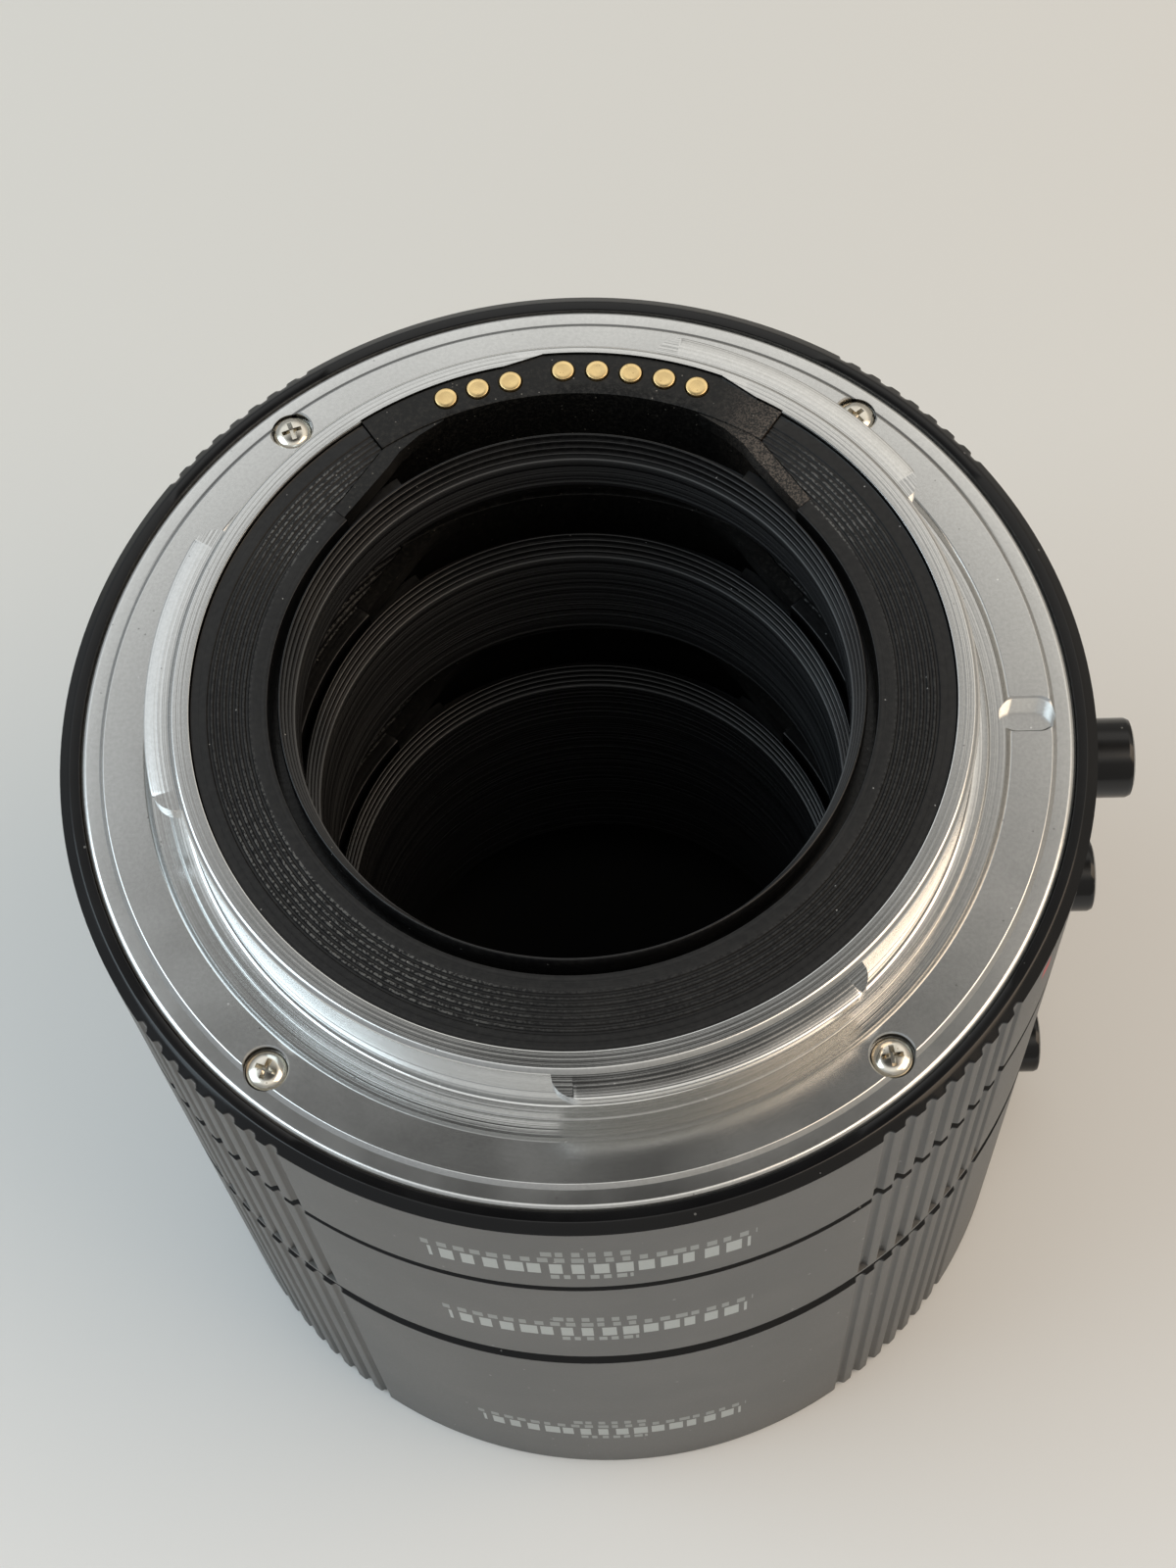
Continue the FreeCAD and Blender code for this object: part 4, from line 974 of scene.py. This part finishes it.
def make_contact_block(name, base, length):
    face = base + length
    foot = face - 1
    top = face + COLLAR_HIGH - 0.15
    block = as_object(sector([
        (21.6, foot), (24.1, foot), (24.1, top, 0.08), (21.6, top, 0.1)],
        BLOCK_ANGLE, BLOCK_SPAN, 60), f"contact_carrier_{name}")
    wide = sector([(22.6, foot), (24.65, foot), (24.65, top, 0.08), (22.6, top)],
                  WIDE_ANGLE, WIDE_SPAN, 30)
    machine(block, wide, "UNION")
    for side in (-1, 1):
        machine(block, prism(block_slope(side, 0), foot + 0.01, top - 0.01), "UNION")
        machine(block, prism(arm_outline(side, 0), top - 1.5, top - 0.12), "UNION")
    for across, along in pad_places():
        seat = turned([(0, -0.8), (0.78, -0.8), (0.78, -0.05), (0.84, 0), (0.84, 1), (0, 1)], 32,
                      closed=False)
        machine(block, moved(seat, across, along, top))
    finish_piece(block, "tube_stack", [f"rear_contact_block_{name}"],
                 [carrier], 30)


for_each_tube(make_contact_block)

# %% Gold contact pads
def make_pads(name, base, length):
    top = base + length + COLLAR_HIGH
    bm = bmesh.new()
    for across, along in pad_places():
        disc = moved(turned([
            (0, top - 0.02), (0.45, top - 0.01), (PAD_R, top, 0.09), (PAD_R, top - 0.9),
            (0, top - 0.9)], 32, closed=False), across, along)
        mesh = bpy.data.meshes.new("disc")
        disc.to_mesh(mesh)
        bm.from_mesh(mesh)
        bpy.data.meshes.remove(mesh)
        disc.free()
    finish_piece(as_object(bm, f"gold_pads_{name}"), "tube_stack", [f"rear_contacts_{name}"],
                 [gold], 40)


for_each_tube(make_pads)

# %% [markdown]
# ## The release buttons
# Three gloss black buttons stand in a column. Each is a spun outline with a well rounded
# front edge, an inner flange that stops it in its hole, and the stem and cone that lift
# the lock pin. Each one rides on its own body, so that it moves when it is pressed.

# %% Release buttons
def make_button(name, base):
    bm = turned([
        (0, 30.05), (0.15, 30.05), (1, 30.9), (1, 31.5), (2.92, 31.5), (2.92, 31.9),
        (2.65, 31.9), (2.65, 36.4, 0.45), (0, 36.4)], 64, closed=False)
    lay = Matrix.Rotation(math.radians(90), 3, "Y")
    bmesh.ops.rotate(bm, cent=(0, 0, 0), matrix=lay, verts=bm.verts[:])
    button = as_object(moved(bm, z=base + BUTTON_HIGH), f"push_button_{name}")
    finish_piece(button, f"release_button_{name}", [f"release_button_{name}"],
                 [gloss], 40)


for name, (base, length) in TUBES.items():
    make_button(name, base)

# %% [markdown]
# ## Inner pieces that keep their CAD shape
# Front rings, springs, pins and the flexible circuits are right as they are. They only
# get their finish on their object's material slots. Those seen from below are copied,
# merged and shaded smoothly, because a CAD mesh itself is never changed. A lock spring is
# such a copy too, but it stays where it is and does not follow the pin.

# %% Finish the other CAD nodes
def finish_of(node):
    """The finish of a CAD node, by its name."""
    for word, material in (
            ("front_mount", alloy), ("mount_spring", spring_steel), ("block", carrier),
            ("contact_pin", gold), ("lock_pin", nickel), ("lock_spring", spring_steel),
            ("housing", matt), ("flex", film)):
        if word in node:
            return material
    return None


def smooth_copy(node, body, stretch=None):
    """A merged, smoothly shaded copy that stands for the node."""
    bm = bmesh.new()
    bm.from_mesh(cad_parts[node].data)
    bmesh.ops.scale(bm, vec=(1000, 1000, 1000), verts=bm.verts[:])
    bmesh.ops.remove_doubles(bm, verts=bm.verts[:], dist=0.002)
    finish_piece(as_object(bm, f"{node}_finished"), body, [node], [finish_of(node)], 30,
                 stretch)


for node, slot in (
        ("front_mount_36", "mount_alloy"), ("mount_spring_36", "spring_steel"),
        ("front_contact_block_36", "contact_carrier")):
    smooth_copy(node, "tube_stack")
smooth_copy("lock_pin_36", "lock_pin_36")
for number in range(1, 9):
    smooth_copy(f"contact_pin_{number}", f"contact_pin_{number}")
for name in TUBES:
    low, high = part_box(f"lock_spring_{name}")
    middle = [(low[axis] + high[axis]) / 2 for axis in (0, 1)]
    smooth_copy(f"lock_spring_{name}", f"lock_pin_{name}",
                ((*middle, high[2]), (*middle, low[2])))
dressed = 0
for node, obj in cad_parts.items():
    material = finish_of(node)
    if material and obj.material_slots:
        obj.material_slots[0].link = "OBJECT"
        obj.material_slots[0].material = material
        dressed += 1
print("CAD nodes dressed in place:", dressed)

# %% [markdown]
# ## The studio
# A plain pale floor and soft light all round. The floor is black inside the stack's own
# footprint, because the photograph shows no light at the bottom of the bore. From below it
# is clear, so that the front mount can be inspected. Bare turned metal shows mostly what it
# mirrors, so the sky does the modelling: a dark patch almost overhead, a bright ring around
# it and an even grey lower down. That leaves the far side of the flange bright and the near
# side dark.
# A cool window at the left and a warm lamp at the right each throw a soft shadow, which
# is why the floor looks bluish at the left and beige at the right of the stack. The floor's
# colour adds painted light to this: cooler at the left, warmer at the right and paler on the
# near side.

# %% Floor
floor_bm = bmesh.new()
bmesh.ops.create_grid(floor_bm, x_segments=8, y_segments=8, size=2)
moved(floor_bm, z=-0.0001)
floor = as_object(floor_bm, "floor")
paper, tree, shader = new_finish("floor_paper", (0.7, 0.69, 0.67), 0.85)
spots = add_node(tree, "ShaderNodeSeparateXYZ", {0: object_place(tree)}).outputs
# Painted light: the floor's colour turns slightly cooler at the left and warmer at the right.
side = ramp(tree, spots["X"], -0.08, 0.12)
tone = blend(tree, side, (0.68, 0.685, 0.67, 1), (0.69, 0.67, 0.635, 1))
# Painted light: the floor is paler towards the near side.
tone = blend(tree, ramp(tree, spots["Y"], 0.1, -0.09), tone, (0.81, 0.82, 0.825, 1))
under = ramp(tree, use(tree, axis_group)["Radius"], 32.5, 30.5)
tone = blend(tree, under, tone, (0.006, 0.006, 0.006, 1))
tree.links.new(tone, shader.inputs["Base Color"])
behind = add_node(tree, "ShaderNodeNewGeometry").outputs["Backfacing"]
tree.links.new(calc(tree, "SUBTRACT", 1.0, behind), shader.inputs["Alpha"])
floor.data.materials.append(paper)
print("floor: 4 m square")

# %% Sky and lamps
CAP = Vector((-0.02, 0.17, 0.985))
# Distance from the dark patch as a share of 90 degrees, and the brightness there
SKY_STOPS = (
    (0.0, 0.03), (0.085, 0.05), (0.145, 0.2), (0.21, 0.5), (0.275, 0.97), (0.42, 1.0),
    (0.58, 0.45), (1.0, 0.37))
world = bpy.data.worlds.new("studio")
world.use_nodes = True
bpy.context.scene.world = world
tree = world.node_tree
backdrop = tree.nodes["Background"]
toward = add_node(tree, "ShaderNodeTexCoord").outputs["Generated"]
lean = add_node(tree, "ShaderNodeVectorMath", {0: toward, 1: CAP}, operation="DOT_PRODUCT")
off_cap = calc(tree, "MULTIPLY", calc(tree, "ARCCOSINE", lean.outputs["Value"]), math.degrees(1))
sky = add_node(tree, "ShaderNodeValToRGB", {0: calc(tree, "DIVIDE", off_cap, 90)})
ramp_stops = sky.color_ramp.elements
for stop, (position, level) in zip(ramp_stops, (SKY_STOPS[0], SKY_STOPS[-1])):
    stop.position, stop.color = position, (level, level, level, 1)
for position, level in SKY_STOPS[1:-1]:
    ramp_stops.new(position).color = (level, level, level, 1)
sideways = add_node(tree, "ShaderNodeSeparateXYZ", {0: toward}).outputs["X"]
tint = blend(tree, ramp(tree, sideways, -0.7, 0.7), (0.95, 1.0, 1.03, 1), (1.07, 1.0, 0.89, 1))
light = add_node(tree, "ShaderNodeVectorMath", {0: sky.outputs["Color"], 1: tint},
                 operation="MULTIPLY")
tree.links.new(light.outputs["Vector"], backdrop.inputs["Color"])
backdrop.inputs["Strength"].default_value = 1.0


def add_softbox(name, azimuth, elevation, distance, size, power, color):
    """A square lamp that looks at the stack's middle."""
    lamp = bpy.data.lights.new(name, "AREA")
    lamp.shape = "SQUARE"
    lamp.size = size
    lamp.energy = power
    lamp.color = color
    obj = bpy.data.objects.new(name, lamp)
    low, high = math.radians(azimuth), math.radians(elevation)
    ray = Vector((math.cos(high) * math.cos(low), math.cos(high) * math.sin(low), math.sin(high)))
    obj.location = ray * distance + Vector((0, 0, 0.04))
    obj.rotation_euler = ray.to_track_quat("Z", "Y").to_euler()
    bpy.context.scene.collection.objects.link(obj)
    return obj


add_softbox("window_left", 184, 47, 0.9, 0.62, 2.6, (0.74, 0.9, 1.0))
add_softbox("lamp_right", -11, 51, 0.9, 0.62, 2.75, (1.0, 0.77, 0.56))
bpy.context.scene.view_settings.view_transform = "Standard"
print("studio: sky with a dark patch overhead, two softboxes")

# %% [markdown]
